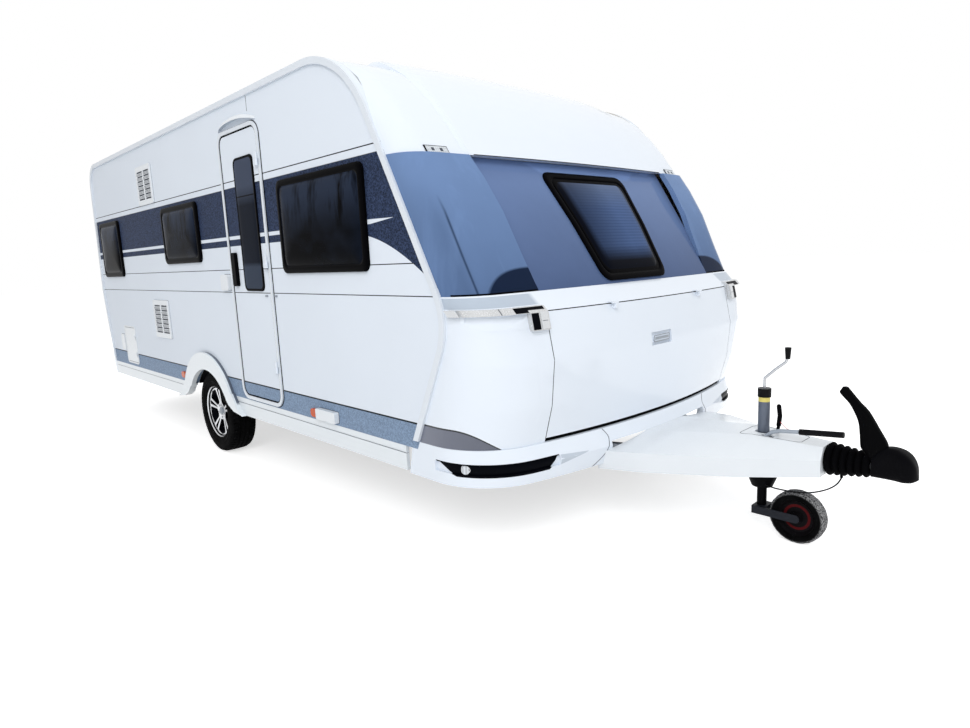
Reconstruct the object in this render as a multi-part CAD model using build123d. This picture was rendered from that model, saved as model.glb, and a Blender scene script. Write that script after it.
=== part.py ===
"""A touring caravan: a sandwich-panel body with a moulded front and rear, standing on one
torsion axle and the jockey wheel of its A-frame drawbar.

Millimetres. +X points forwards to the coupling, +Y to the left, +Z up. The origin lies on
the ground, under the middle of the whole length and width.
"""
from build123d import *
import math
import os

os.makedirs("parts", exist_ok=True)

# ---- driving dimensions ------------------------------------------------------------------
HALF_W = 1250.0            # half the body width
WALL = 35.0                # sandwich wall, and the moulded ends with their lining
FLOOR_Z = 515.0            # underside of the floor
FLOOR_T = 44.0
ROOF_Z = 2530.0            # top of the roof panel
ROOF_T = 32.0
SEAT = 0.3                 # gap between pieces that bear on each other
GAP = 5.0                  # gap round doors and lids
RUN = 0.05                 # radial clearance of a running fit

AXLE_X = -800.0
TYRE_R = 322.0
TYRE_W = 195.0
TYRE_EDGE = 24.0           # chamfer beside the tread
TYRE_FACE_Y = 1240.0       # outer face of the tyre
BEAD_R = 190.0
RIM_FLANGE_R = 206.0
RIM_WIDTH = 152.0          # between the flanges
RIM_FLANGE_T = 8.0
HUB_R = 30.0               # hub journal
TRACK_Y = TYRE_FACE_Y - TYRE_W / 2
SPOKES = 5                 # pairs of spokes

# outline of the side wall, seen from the side: x, z, corner radius
SIDE_OUTLINE = [
    (-3425.0, FLOOR_Z, 0.0),       # bottom, rear
    (-3540.0, 1250.0, 600.0),      # waist of the rear end
    (-3457.0, ROOF_Z, 230.0),      # roof, rear
    (1421.0, ROOF_Z, 650.0),       # roof, front
    (2142.0, 1156.0, 330.0),       # nose
    (1834.0, FLOOR_Z, 0.0),        # bottom, front
]

BAND_Z = (1275.0, 1945.0)  # foot and head of the dark band round the front window

# plan sections of the moulded ends: z, x in the middle, x at the side, corner radius
FRONT_LOWER = [
    (555.0, 2434.0, 2244.0, 362.0),
    (740.0, 2455.0, 2331.0, 370.0),
    (960.0, 2460.0, 2373.0, 330.0),
    (1190.0, 2430.0, 2312.0, 232.0),
    (BAND_Z[0], 2305.0, 2250.0, 200.0),
]
FRONT_BAND = [
    (BAND_Z[0], 2305.0, 2250.0, 200.0),
    (1600.0, 2112.0, 2060.0, 170.0),
    (BAND_Z[1], 1880.0, 1830.0, 150.0),
]
SHOULDER = [
    (1245.0, 2312.0, 2262.0, 210.0),
    (1456.0, 2215.0, 2166.0, 200.0),
    (1660.0, 2128.0, 2078.0, 190.0),
    (1830.0, 2028.0, 1976.0, 175.0),
    (1972.0, 1926.0, 1872.0, 160.0),
]
FRONT_CAP = [
    (BAND_Z[1], 1925.0, 1860.0, 150.0),
    (ROOF_Z - 428.0, 1822.0, 1750.0, 150.0),
    (ROOF_Z - 295.0, 1709.0, 1636.0, 150.0),
    (ROOF_Z - 195.0, 1596.0, 1524.0, 150.0),
    (ROOF_Z - 115.0, 1478.0, 1410.0, 150.0),
    (ROOF_Z - 50.0, 1330.0, 1270.0, 145.0),
    (ROOF_Z - 12.0, 1180.0, 1140.0, 140.0),
    (ROOF_Z, 1085.0, 1075.0, 60.0),
]
# raised brow in the middle of the moulded front: z, x in the middle, x at its edge, half width
BROW = [
    (BAND_Z[1], 1943.0, 1911.0, 872.0),
    (ROOF_Z - 428.0, 1840.0, 1802.0, 886.0),
    (ROOF_Z - 295.0, 1729.0, 1691.0, 890.0),
    (ROOF_Z - 195.0, 1620.0, 1583.0, 882.0),
    (ROOF_Z - 115.0, 1508.0, 1472.0, 868.0),
    (ROOF_Z - 50.0, 1385.0, 1350.0, 850.0),
    (ROOF_Z + 5.0, 1262.0, 1235.0, 828.0),
    (ROOF_Z + 38.0, 1160.0, 1138.0, 806.0),
    (ROOF_Z + 50.0, 1090.0, 1075.0, 790.0),
]
BROW_FLANK = 26.0          # width of the brow's sloped edge
BROW_BACK_Z = ROOF_Z + 6.0 # height of the brow's back edge
CAP_BACK_X = 1000.0        # where the moulded front meets the roof panel
LOWER_BACK_X = 1700.0
UPPER_BACK_X = 1400.0
FRONT_BUMPER = [
    (375.0, 2462.0, 2262.0, 372.0),
    (465.0, 2478.0, 2282.0, 375.0),
    (554.7, 2444.0, 2254.0, 365.0),
]
BUMPER_BACK_X = 1700.0
DRAWBAR_SLOT = (470.0, 485.0)   # half width and top of the bumper's cut over the drawbar
FOG_RECESS = (815.0, 1965.0, 436.0, 486.0)   # least y, least x, z low, z high
FOG_DEPTH = 14.0
FOG_LAMP = (2146.0, 1214.0, 461.0, 21.0)     # x, y, z, radius
REAR = [
    (600.0, -3618.0, -3573.0, 130.0),
    (900.0, -3668.0, -3630.0, 132.0),
    (1250.0, -3690.0, -3655.0, 132.0),
    (1800.0, -3678.0, -3640.0, 132.0),
    (2300.0, -3638.0, -3602.0, 130.0),
    (2400.0, -3610.0, -3575.0, 125.0),
    (2475.0, -3558.0, -3528.0, 120.0),
    (2515.0, -3490.0, -3468.0, 110.0),
    (ROOF_Z, -3400.0, -3388.0, 60.0),
]
REAR_BACK_X = -3224.0
REAR_BUMPER = [
    (380.0, -3640.0, -3590.0, 160.0),
    (480.0, -3698.0, -3640.0, 170.0),
    (599.7, -3690.0, -3632.0, 160.0),
]

LID_HALF_W = 868.0         # gas locker lid
LID_Z = (575.0, 1185.0)
LID_AXIS = (2440.0, 1192.0)
LID_LOCK = (-112.0, 84.0, 934.0, 1004.0)     # y, y, z, z of the pocket
LID_LOCK_DEPTH = 12.0
LID_HINGE_Y = 420.0        # the lid's two hinges, each side of the middle
BAND_HALF_W = (808.0, 886.0)    # dark panel round the front window: half width at foot, at head
GRAB_BAR = (1188.0, 1216.0)     # z of the bar round each front corner
GRAB_BLOCK = (882.0, 985.0, 1106.0)   # y, y, z low of the block at its inner end
GRAB_RECESS = (992.0, 1118.0)   # least y and z low of the recess below the bar
GRAB_OUT = 24.0
GRAB_BACK_X = 2128.0
BULKHEAD_X = (1860.0, 1884.0)
BULKHEAD_TOP = 1240.0

# side windows: x of the rear edge, x of the front edge, sill z, head z
WINDOWS = {
    "front": (615.0, 1535.0, 1398.0, 1945.0),
    "middle": (-1450.0, -675.0, 1496.0, 1945.0),
    "rear": (-3330.0, -2680.0, 1405.0, 1942.0),
}
WINDOW_SHRINK = 26.0       # the wall's cut is smaller than the pane all round
WINDOW_PROUD = 34.0
WINDOW_R = 45.0
FRONT_WINDOW = (375.0, 300.0, 1292.0, 1890.0)    # half width at head, at sill, sill z, head z
REAR_WINDOW = (620.0, 1400.0, 1945.0)            # half width, sill z, head z

DOOR_X = (-150.0, 402.0)   # rear edge, front edge of the leaf
DOOR_Z = (556.0, ROOF_Z - 224.0)
DOOR_R = 62.0
DOOR_PROUD = 6.0
DOOR_GLASS = (44.0, 330.0, 1288.0, DOOR_Z[1] - 161.0)
FRAME_W = 24.0             # frame strip round the door
FRAME_PROUD = 12.0
FRAME_LINER = 10.0
HINGE_OUT = 24.0           # hinge axis, outside the wall's skin
HINGE_R = 8.0
HINGE_Z = [760.0, 1430.0, 2060.0]

# wheel arch: x behind the axle, z, radius
ARCH_INNER = (-10.0, 250.0, 420.0)
ARCH_OUTER = (-25.0, 277.0, 527.0)
ARCH_CUT_R = 438.0
ARCH_PROUD = 35.0
# feet of the arch moulding, forwards of the arch's middle: outer edge, then inner edge
ARCH_FOOT = [(478.0, 530.0), (560.0, 424.0), (640.0, 388.0)]
ARCH_FLARE = [(620.0, 388.0), (492.0, 402.0), (405.0, 440.0), (340.0, 500.0)]
WELL_R = 385.0
WELL_T = 10.0
WELL_Y = TYRE_FACE_Y - TYRE_W - 25.0    # inner face of the wheel box

SKIRT_Z = (385.0, FLOOR_Z)
SKIRT_T = 20.0
SKIRT_RIB_Z = (475.0, 481.0)

# x low, x high, z low, z high
VENTS = [(-1965.0, -1590.0, ROOF_Z - 518.0, ROOF_Z - 196.0), (-1940.0, -1555.0, 862.0, 1192.0)]
VENT_ROWS = 7
VENT_SLOT = 14.0
CASSETTE_FLAP = (-2945.0, -2625.0, 560.0, 900.0)
FILLER_FLAP = (-3085.0, -2975.0, 665.0, 825.0)
AWNING_LAMP = (-150.0, 405.0, ROOF_Z - 176.0, ROOF_Z - 127.0)   # x, x, z of the ends, z of the middle
MARKERS = [(-1369.0, 571.0), (834.0, 558.0)]
LUGGAGE_FLAP_LEFT = (-3200.0, -2200.0, 600.0, 900.0)

HATCHES = [("front", -650.0, 50.0, 250.0), ("rear", -2600.0, -2200.0, 200.0)]  # x, x, half width
HATCH_Z = (ROOF_Z + SEAT, ROOF_Z + 48.0)
HATCH_LID_Z = (ROOF_Z + 54.0, ROOF_Z + 100.0)
HATCH_AXIS = (5.0, ROOF_Z + 60.0)    # ahead of the frame's front edge, and height
KNUCKLE_R = 5.0            # hinges of hatches and flaps
KNUCKLE_L = 24.0

HITCH_Z = 452.0            # centre line of the overrun tube
HEAD_Z = 405.0             # foot of the coupling head
BALL_X = 3640.0
BALL_R = 25.2
BALL_DEPTH = 55.0
OVERRUN_R = 25.0
RAIL_Y = (517.0, 557.0)
RAIL_Z = (375.0, FLOOR_Z - SEAT)
RAIL_T = 4.0
RAIL_BACK_X = -3250.0
BEND_X = 1900.0            # where the rails turn inwards to the drawbar
LEG_Z = (365.0, 440.0)     # legs of the drawbar, ahead of their taper
LEG_TAPER_X = 2350.0
LEG_NOSE_Y = (44.0, 84.0)
NOSE_X = (3130.0, 3230.0)  # cast nose between the legs
NOSE_HALF_H = 40.0
CROSS_X = [-3200.0, -1900.0, 300.0, BEND_X - 40.0]
CROSS_W = 40.0
AXLE_TUBE = (-650.0, 412.0, 45.0)       # x, z, radius

# sections of the drawbar cover: x, half width, foot z, crease z, half width of the top, top z
COVER = [
    (2400.0, 530.0, 345.0, 440.0, 200.0, 480.0),
    (2620.0, 478.0, 355.0, 455.0, 150.0, 497.0),
    (3000.0, 290.0, 365.0, 457.0, 100.0, 530.0),
    (3322.0, 90.0, 378.0, 457.0, 60.0, 516.0),
]
COVER_T = 5.0
# ribs of the bellows between its ends: first x, last x, first radius, last radius, count
BELLOWS = (3327.0, 3506.0, 80.0, 56.0, 6)
BELLOWS_GLAND = (3394.0, -29.0, 378.8, 8.0)    # x, y, foot z, radius
# outline of the coupling head and of its lever, seen from the side: x, z
HEAD = [(3512.0, HEAD_Z), (3512.0, 500.0), (3540.0, 534.0), (3569.0, 549.0), (3611.0, 548.0),
        (3653.0, 525.0), (3680.0, 481.0), (3688.0, 424.0), (3680.0, HEAD_Z)]
LEVER = [(3362.0, 774.0), (3374.0, 798.0), (3394.0, 796.0), (3454.0, 726.0), (3488.0, 694.0), (3531.0, 619.0),
         (3569.0, 553.0), (3538.0, 474.0), (3489.0, 497.0), (3459.0, 533.0), (3446.0, 642.0), (3406.0, 724.0)]
LEVER_HALF_T = (34.0, 16.0)             # half thickness at the foot, at the tip

# handbrake lever: x, z of its bends
HANDBRAKE = [(3052.0, 517.0), (3086.0, 548.0), (3124.0, 560.0), (3214.0, 570.0), (3405.0, 587.0)]
HANDBRAKE_Y = -58.0
HANDBRAKE_R = 9.5
GRIP_R = 14.0

JOCKEY_X = 3020.0
JOCKEY_TUBE_R = 27.5
JOCKEY_LEG_R = 23.0
MAST_Z = (244.0, 705.0)
LEG_HEADROOM = 75.0        # free length of the mast above the leg
COLLAR_TOP_Z = 748.0
FUNNEL = (50.0, 70.0, 250.0, 300.0)     # radius at the foot, radius above, z, z
CRANK = [(3020.0, 742.0), (3020.0, 798.0), (3073.0, 848.0), (3119.0, 886.0), (3127.0, 910.0)]
CRANK_R = 7.0
CRANK_GRIP = (3127.0, 902.0, 957.0, 15.0)
CLAMP_GRIP = [(3072.0, 500.0), (3081.0, 560.0), (3086.0, 612.0), (3080.0, 658.0)]
CLAMP_GRIP_Y = 30.0
JOCKEY_WHEEL_X = 3199.0
JOCKEY_WHEEL_R = 130.0
JOCKEY_WHEEL_W = 76.0
JOCKEY_RIM_R = 88.0
JOCKEY_TYRE_EDGE = 9.0
JOCKEY_AXLE_R = 10.0
FORK_Z = (110.0, 150.0)
FORK_T = 6.0
SPIGOT_R = 11.0

# cords: the centre line from point to point
CABLE = [(3059.0, -46.5, 273.0), (3077.5, -57.5, 271.5), (3106.0, -62.0, 269.8), (3142.0, -61.0, 269.0),
         (3178.0, -57.0, 269.2), (3212.0, -53.0, 271.0), (3245.0, -49.5, 275.5), (3277.0, -47.5, 283.5),
         (3307.0, -46.0, 295.5), (3334.0, -44.0, 309.0), (3357.0, -40.5, 324.0), (3375.0, -36.0, 340.5),
         (3387.0, -32.0, 358.0), (3394.0, -29.0, 377.0)]
CABLE_R = 3.5
WIRE = [(3092.2, 22.3, 582.0), (3108.0, 9.5, 573.0), (3130.0, -7.0, 565.5), (3152.0, -24.0, 562.0),
        (3169.0, -37.5, 563.5), (3181.0, -47.0, 566.8)]
WIRE_R = 1.5

STEADY_Z = 468.0
STEADY_L = 470.0
STEADY_Y = 900.0
STEADIES = [("front", 1100.0, 1.0), ("rear", -2760.0, -1.0)]   # name, hinge x, way the arm points


# ---- helpers -----------------------------------------------------------------------------
def outline_face(points):
    """Face in the XZ plane from rows of x, z, corner radius."""
    face = make_face(Polyline(*[(x, z) for x, z, _ in points], close=True))
    for x, z, radius in points:
        if radius > 0:
            corner = face.vertices().sort_by(lambda v: (v.X - x) ** 2 + (v.Y - z) ** 2)[0]
            face = fillet(corner, radius)
    return face


def slab_y(face, y_low, y_high):
    """Extrudes a face drawn in x, z so that it fills y_low to y_high."""
    return Pos(0, y_high, 0) * extrude(Plane.XZ * face, amount=y_high - y_low)


def slab_x(face, x_low, x_high):
    """Extrudes a face drawn in y, z so that it fills x_low to x_high."""
    return Pos(x_low, 0, 0) * extrude(Plane.YZ * face, amount=x_high - x_low)


def box(x, y, z):
    """Box from three (low, high) pairs."""
    pairs = [tuple(sorted(p)) for p in (x, y, z)]
    size = [b - a for a, b in pairs]
    middle = [(a + b) / 2 for a, b in pairs]
    return Pos(*middle) * Box(*size)


def tube_y(x, z, y_low, y_high, radius):
    return Pos(x, (y_low + y_high) / 2, z) * (Rot(90, 0, 0) * Cylinder(radius, abs(y_high - y_low)))


def tube_x(y, z, x_low, x_high, radius):
    return Pos((x_low + x_high) / 2, y, z) * (Rot(0, 90, 0) * Cylinder(radius, x_high - x_low))


def tube_z(x, y, z_low, z_high, radius):
    return Pos(x, y, (z_low + z_high) / 2) * Cylinder(radius, z_high - z_low)


def bar(start, end, radius):
    """Round bar between two points."""
    a, b = Vector(*start), Vector(*end)
    return extrude(Plane(origin=a, z_dir=(b - a)) * Circle(radius), amount=(b - a).length)


def panel(x_low, x_high, z_low, z_high, radius, grow=0.0):
    """Rounded rectangle in x, z, grown on every side."""
    return Pos((x_low + x_high) / 2, (z_low + z_high) / 2) * RectangleRounded(
        x_high - x_low + 2 * grow, z_high - z_low + 2 * grow, radius + grow)


def mirror_y(shape):
    return mirror(shape, about=Plane.XZ)


def join(*shapes):
    """Several solids that don't touch, kept as one node."""
    return Compound(children=[s for shape in shapes for s in shape.solids()])


def both(shape):
    """The shape and its mirror image on the other side."""
    return join(shape, mirror_y(shape))


parts = {}


# ---- body shell --------------------------------------------------------------------------
def plan_section(z, x_middle, x_side, radius, x_back, inset=0.0, way=1.0):
    """One plan section of a moulded end; way is +1 at the front and -1 at the rear."""
    half = HALF_W - inset
    xm = x_middle - way * inset
    xs = x_side - way * inset
    face = make_face(Curve() + [
        Line((x_back, -half), (xs, -half)),
        ThreePointArc((xs, -half), (xm, 0), (xs, half)),
        Line((xs, half), (x_back, half)),
        Line((x_back, half), (x_back, -half)),
    ])
    corners = face.vertices().filter_by(lambda v: abs(v.X - xs) < 1.0)
    face = fillet(corners, max(radius - inset, 10.0))
    return Pos(0, 0, z) * face


def end_solid(rows, x_back, inset=0.0, way=1.0, drop=0.0):
    """Ruled loft through plan sections. drop lowers the sections towards the last one."""
    low, high = rows[0][0], rows[-1][0]
    faces = []
    for z, xm, xs, radius in rows:
        fall = drop * (z - low) / (high - low)
        faces.append(plan_section(z - fall, xm, xs, radius, x_back, inset, way))
    return loft(faces, ruled=True)


def shell_of(rows, x_back, wall=WALL, way=1.0, drop=0.0):
    """Hollow moulding: the loft less the same loft set in by the wall."""
    outer = end_solid(rows, x_back, 0.0, way)
    inner = end_solid(rows, x_back - way * 20.0, wall, way, drop)
    return outer - inner


side_face = outline_face(SIDE_OUTLINE)
side_cut = both(slab_y(side_face, -HALF_W - 60.0, -HALF_W + WALL + 14.0))
FAR = 4000.0


def trapezoid(half_top, half_bottom, z_low, z_high, radius, grow=0.0):
    """Rounded trapezoid in y, z."""
    t, b = half_top + grow, half_bottom + grow
    face = make_face(Polyline((-b, z_low - grow), (b, z_low - grow),
                              (t, z_high + grow), (-t, z_high + grow), close=True))
    return fillet(face.vertices(), radius + grow)


def brow_section(z, x_middle, x_edge, half):
    """Plan section of the brow with sloped flanks."""
    foot = half + BROW_FLANK
    face = make_face(Curve() + [
        Line((CAP_BACK_X, -foot), (x_edge - BROW_FLANK, -foot)),
        Line((x_edge - BROW_FLANK, -foot), (x_edge, -half)),
        ThreePointArc((x_edge, -half), (x_middle, 0), (x_edge, half)),
        Line((x_edge, half), (x_edge - BROW_FLANK, foot)),
        Line((x_edge - BROW_FLANK, foot), (CAP_BACK_X, foot)),
        Line((CAP_BACK_X, foot), (CAP_BACK_X, -foot)),
    ])
    return Pos(0, 0, z) * face


def skin(rows, x_back, depth_out, depth_in, way=1.0):
    """Layer of a moulded end between two depths; below zero is outside its surface."""
    return end_solid(rows, x_back, depth_out, way) - end_solid(rows, x_back - way * 20.0, depth_in, way)


def corner_zone(y_low, x_low, z_low, z_high):
    """Block round each front corner."""
    return box((x_low, FAR), (y_low, FAR), (z_low, z_high)) + box((x_low, FAR), (-FAR, -y_low), (z_low, z_high))


def build_front():
    lower = shell_of(FRONT_LOWER, LOWER_BACK_X) - side_cut
    band = shell_of(FRONT_BAND, UPPER_BACK_X) - side_cut
    shoulder = shell_of(SHOULDER, UPPER_BACK_X) - side_cut
    brow = loft([brow_section(*row) for row in BROW], ruled=True)
    top = ROOF_Z + 200.0
    brow &= slab_y(outline_face([(CAP_BACK_X, BAND_Z[1], 0), (CAP_BACK_X, BROW_BACK_Z, 0), (BROW[-2][1], top, 0),
                                 (FAR, top, 0), (FAR, BAND_Z[1], 0)]), -HALF_W, HALF_W)
    cap = end_solid(FRONT_CAP, CAP_BACK_X) + brow
    cap = cap - end_solid(FRONT_CAP, CAP_BACK_X - 20.0, WALL, drop=ROOF_T) - side_cut
    parts["front_cap"] = cap
    lid_zone = box((0, FAR), (-LID_HALF_W, LID_HALF_W), LID_Z)
    lid_gap = box((0, FAR), (-LID_HALF_W - GAP, LID_HALF_W + GAP), (0, LID_Z[1] + GAP))
    y_low, y_high, z_low, z_high = LID_LOCK
    pocket_x = FRONT_LOWER[2][1] - LID_LOCK_DEPTH
    lid = (lower & lid_zone) - box((pocket_x, FAR), (y_low, y_high), (z_low, z_high))
    lid += slab_x(Pos((y_low + y_high) / 2, (z_low + z_high) / 2) * RectangleRounded(
        y_high - y_low - 40.0, z_high - z_low - 36.0, 12.0), pocket_x - 1.0, pocket_x + LID_LOCK_DEPTH - 2.0)
    shell = lower - lid_gap
    y_low, y_high, z_low = GRAB_BLOCK
    recess = skin(FRONT_LOWER, LOWER_BACK_X, -1.0, 12.0)
    shell -= recess & corner_zone(GRAB_RECESS[0], GRAB_BACK_X + 80.0, GRAB_RECESS[1], GRAB_BAR[0])
    bar_skin = skin(FRONT_LOWER, LOWER_BACK_X, -GRAB_OUT, -SEAT)
    zone = corner_zone(y_low, GRAB_BACK_X, *GRAB_BAR) & box((0, FAR), (-HALF_W - SEAT, HALF_W + SEAT), (0, FAR))
    zone += both(box((0, FAR), (y_low, y_high), (z_low, GRAB_BAR[0] + 1.0)))
    parts["grab_handles"] = bar_skin & zone
    axis_x, axis_z = LID_AXIS
    for side in (-1, 1):
        y0 = side * LID_HINGE_Y
        lid += tube_y(axis_x, axis_z, y0, y0 + KNUCKLE_L, KNUCKLE_R)
        lid += box((axis_x - 24.0, axis_x + 3.0), (y0, y0 + KNUCKLE_L), (LID_Z[1] - 22.0, LID_Z[1] - 1.0))
        lid += box((axis_x - 1.0, axis_x + 4.0), (y0, y0 + KNUCKLE_L), (LID_Z[1] - 22.0, axis_z))
        y1 = y0 - SEAT
        shell += tube_y(axis_x, axis_z, y1 - KNUCKLE_L, y1, KNUCKLE_R)
        shell += box((axis_x - 50.0, axis_x), (y1 - KNUCKLE_L, y1), (axis_z, axis_z + KNUCKLE_R))
    parts["locker_lid"] = lid
    parts["front_lower_shell"] = shell
    foot, head = BAND_HALF_W
    rise = (head - foot) / (BAND_Z[1] - BAND_Z[0])
    wide = [(z, foot + rise * (z - BAND_Z[0])) for z in (BAND_Z[0] + SEAT, BAND_Z[1] - SEAT)]
    (z0, w0), (z1, w1) = wide
    band_zone = slab_x(make_face(Polyline((-w0, z0), (w0, z0), (w1, z1), (-w1, z1), close=True)), 0, FAR)
    half_top, half_bottom, sill, head_z = FRONT_WINDOW
    hole = slab_x(trapezoid(half_top, half_bottom, sill, head_z, 60.0, -WINDOW_SHRINK), 0, FAR)
    parts["front_band_panel"] = (band & band_zone) - hole
    side_zone = slab_x(make_face(Polyline((w0 + SEAT, z0), (HALF_W + 1, z0), (HALF_W + 1, z1), (w1 + SEAT, z1),
                                          close=True)), 0, FAR)
    parts["front_shoulder_panels"] = join(shoulder & side_zone, shoulder & mirror_y(side_zone))
    pane = skin(FRONT_BAND, UPPER_BACK_X, -30.0, -SEAT)
    outline = slab_x(trapezoid(half_top, half_bottom, sill, head_z, 60.0), 0, FAR)
    parts["front_window"] = pane & outline
    bumper = shell_of(FRONT_BUMPER, BUMPER_BACK_X, 40.0)
    beyond = slab_y(outline_face([(-FAR, 300, 0), (-FAR, 700, 0), (1830, 700, 0), (1740, 300, 0)]),
                    -HALF_W - 1, HALF_W + 1)
    slot = box((0, FAR), (-DRAWBAR_SLOT[0], DRAWBAR_SLOT[0]), (0, DRAWBAR_SLOT[1]))
    recess = skin(FRONT_BUMPER, BUMPER_BACK_X, -1.0, FOG_DEPTH) & corner_zone(*FOG_RECESS)
    parts["front_bumper"] = bumper - beyond - side_cut - slot - recess
    x, y, z, radius = FOG_LAMP
    lamp = bar((x - 60.0, -y + 60.0, z), (x, -y, z), radius)
    lamp -= end_solid(FRONT_BUMPER, BUMPER_BACK_X, FOG_DEPTH - SEAT)
    marker = skin(FRONT_CAP, CAP_BACK_X, -7.0, -SEAT) & box((1700, FAR), (-1112.0, -990.0), (BAND_Z[1] + 3.0, BAND_Z[1] + 35.0))
    parts["front_lamps"] = both(join(lamp, marker))


def build_rear():
    shell = shell_of(REAR, REAR_BACK_X, way=-1.0, drop=ROOF_T) - side_cut
    half, sill, head = REAR_WINDOW
    hole = slab_x(trapezoid(half, half, sill, head, 60.0, -WINDOW_SHRINK), -FAR, 0)
    parts["rear_shell"] = shell - hole
    pane = end_solid(REAR, REAR_BACK_X, -28.0, -1.0) - end_solid(REAR, REAR_BACK_X + 20, -SEAT, -1.0)
    parts["rear_window"] = pane & slab_x(trapezoid(half, half, sill, head, 60.0), -FAR, 0)
    bumper = shell_of(REAR_BUMPER, -3300.0, 40.0, -1.0)
    ahead = slab_y(outline_face([(FAR, 300, 0), (FAR, 700, 0), (-3420, 700, 0), (-3400, 300, 0)]),
                   -HALF_W - 1, HALF_W + 1)
    parts["rear_bumper"] = bumper - ahead - side_cut
    lamp = slab_x(Pos(935.0, 520.0) * RectangleRounded(420.0, 90.0, 40.0), -FAR, 0)
    cover = end_solid(REAR_BUMPER, -3300.0, -12.0, -1.0) - end_solid(REAR_BUMPER, -3280.0, -SEAT, -1.0)
    parts["tail_lamps"] = both(cover & lamp)


def build_walls():
    wall = slab_y(side_face, -HALF_W, -HALF_W + WALL)
    arch = tube_y(AXLE_X + ARCH_INNER[0], ARCH_INNER[1], -HALF_W - 1, -HALF_W + WALL + 1, ARCH_CUT_R)
    holes = [slab_y(panel(*rect, WINDOW_R, -WINDOW_SHRINK), -HALF_W - 1, -HALF_W + WALL + 1)
             for rect in WINDOWS.values()]
    parts["side_wall_left"] = mirror_y(wall - arch - holes)
    door = slab_y(panel(*DOOR_X, *DOOR_Z, DOOR_R, GAP + FRAME_LINER + SEAT), -HALF_W - 1, -HALF_W + WALL + 1)
    flap = slab_y(panel(*CASSETTE_FLAP, 20.0, GAP), -HALF_W - 1, -HALF_W + WALL + 1)
    parts["side_wall_right"] = wall - arch - holes - door - flap
    panes = [slab_y(panel(*rect, WINDOW_R), -HALF_W - WINDOW_PROUD, -HALF_W - SEAT)
             for rect in WINDOWS.values()]
    parts["side_windows"] = both(join(*panes))
    inner_y = HALF_W - WALL - SEAT
    roof = box((REAR_BACK_X + SEAT, CAP_BACK_X - SEAT), (-inner_y, inner_y), (ROOF_Z - ROOF_T, ROOF_Z))
    for _, x_low, x_high, half in HATCHES:
        roof -= box((x_low + 30, x_high - 30), (-half + 30, half - 30), (ROOF_Z - 100, ROOF_Z + 1))
    parts["roof_panel"] = roof


def build_floor():
    inner_y = HALF_W - WALL - SEAT
    z = (FLOOR_Z, FLOOR_Z + FLOOR_T)
    flat = box((-3400.0, 1700.0), (-inner_y, inner_y), z)
    nose = extrude(Pos(0, 0, FLOOR_Z - 555.0) * plan_section(*FRONT_LOWER[0], 1690.0, WALL + GAP), amount=FLOOR_T)
    well = WELL_R + WELL_T
    half = math.sqrt(well ** 2 - (FLOOR_Z - TYRE_R) ** 2) + 1.0
    cut = box((AXLE_X - half, AXLE_X + half), (-HALF_W, -WELL_Y + SEAT), (0, 700))
    parts["floor_panel"] = (flat + nose) - cut - mirror_y(cut)
    ring = tube_y(AXLE_X, TYRE_R, -inner_y, -WELL_Y, well) - tube_y(
        AXLE_X, TYRE_R, -inner_y - 1, -WELL_Y - WELL_T, WELL_R)
    parts["wheel_boxes"] = both(ring & box((-FAR, FAR), (-HALF_W, 0), (FLOOR_Z, 1000)))
    wall = box(BULKHEAD_X, (-inner_y, inner_y), (FLOOR_Z + FLOOR_T + SEAT, BULKHEAD_TOP))
    k = (BULKHEAD_TOP - 1190.0) / 85.0
    xm = 2430.0 + k * (2305.0 - 2430.0)
    xs = 2312.0 + k * (2250.0 - 2312.0)
    shelf = extrude(plan_section(BULKHEAD_TOP - 15.0, xm, xs, 215.0, BULKHEAD_X[0], WALL + 1.0), amount=15.0)
    parts["locker_bulkhead"] = wall + shelf


def arch_face(centre, feet):
    """Arch outline in x, z: a circle with a foot at each end, on ground lower than the skirt."""
    back, z, radius = centre
    face = Pos(AXLE_X + back, z) * Circle(radius)
    x_middle = AXLE_X + ARCH_OUTER[0]
    low = SKIRT_Z[0] - 60.0
    for side in (-1, 1):
        rows = [(x_middle, feet[0][1])] + [(x_middle + side * dx, dz) for dx, dz in feet]
        rows += [(x_middle + side * feet[-1][0], low), (x_middle, low)]
        face += make_face(Polyline(*rows, close=True))
    return face


def build_arches():
    outer = slab_y(arch_face(ARCH_OUTER, ARCH_FOOT), -HALF_W - ARCH_PROUD, -HALF_W - SEAT)
    inner = slab_y(arch_face(ARCH_INNER, ARCH_FLARE[::-1]), -HALF_W - ARCH_PROUD - 1, -HALF_W)
    trim = (outer - inner) & box((-FAR, FAR), (-2000, 0), (SKIRT_Z[0], 1000))
    parts["wheel_arch_trims"] = both(trim)
    skirt = box((-3400.0, 1735.0), (-HALF_W, -HALF_W + SKIRT_T), (SKIRT_Z[0], SKIRT_Z[1] - SEAT))
    skirt -= box((-FAR, FAR), (-HALF_W - 1, -HALF_W + 4.0), SKIRT_RIB_Z)
    skirt -= slab_y(arch_face(ARCH_INNER, ARCH_FLARE[::-1]), -HALF_W - 1, -HALF_W + SKIRT_T + 1)
    parts["side_skirts"] = both(skirt)


def build_trims():
    inset = offset(side_face, amount=-36.0)
    ring = slab_y(side_face - inset, -HALF_W - 14.0, -HALF_W - SEAT)
    ring &= box((-FAR, FAR), (-2000, 2000), (FLOOR_Z + 45.0, 3000))
    parts["corner_trims"] = both(ring)


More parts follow.
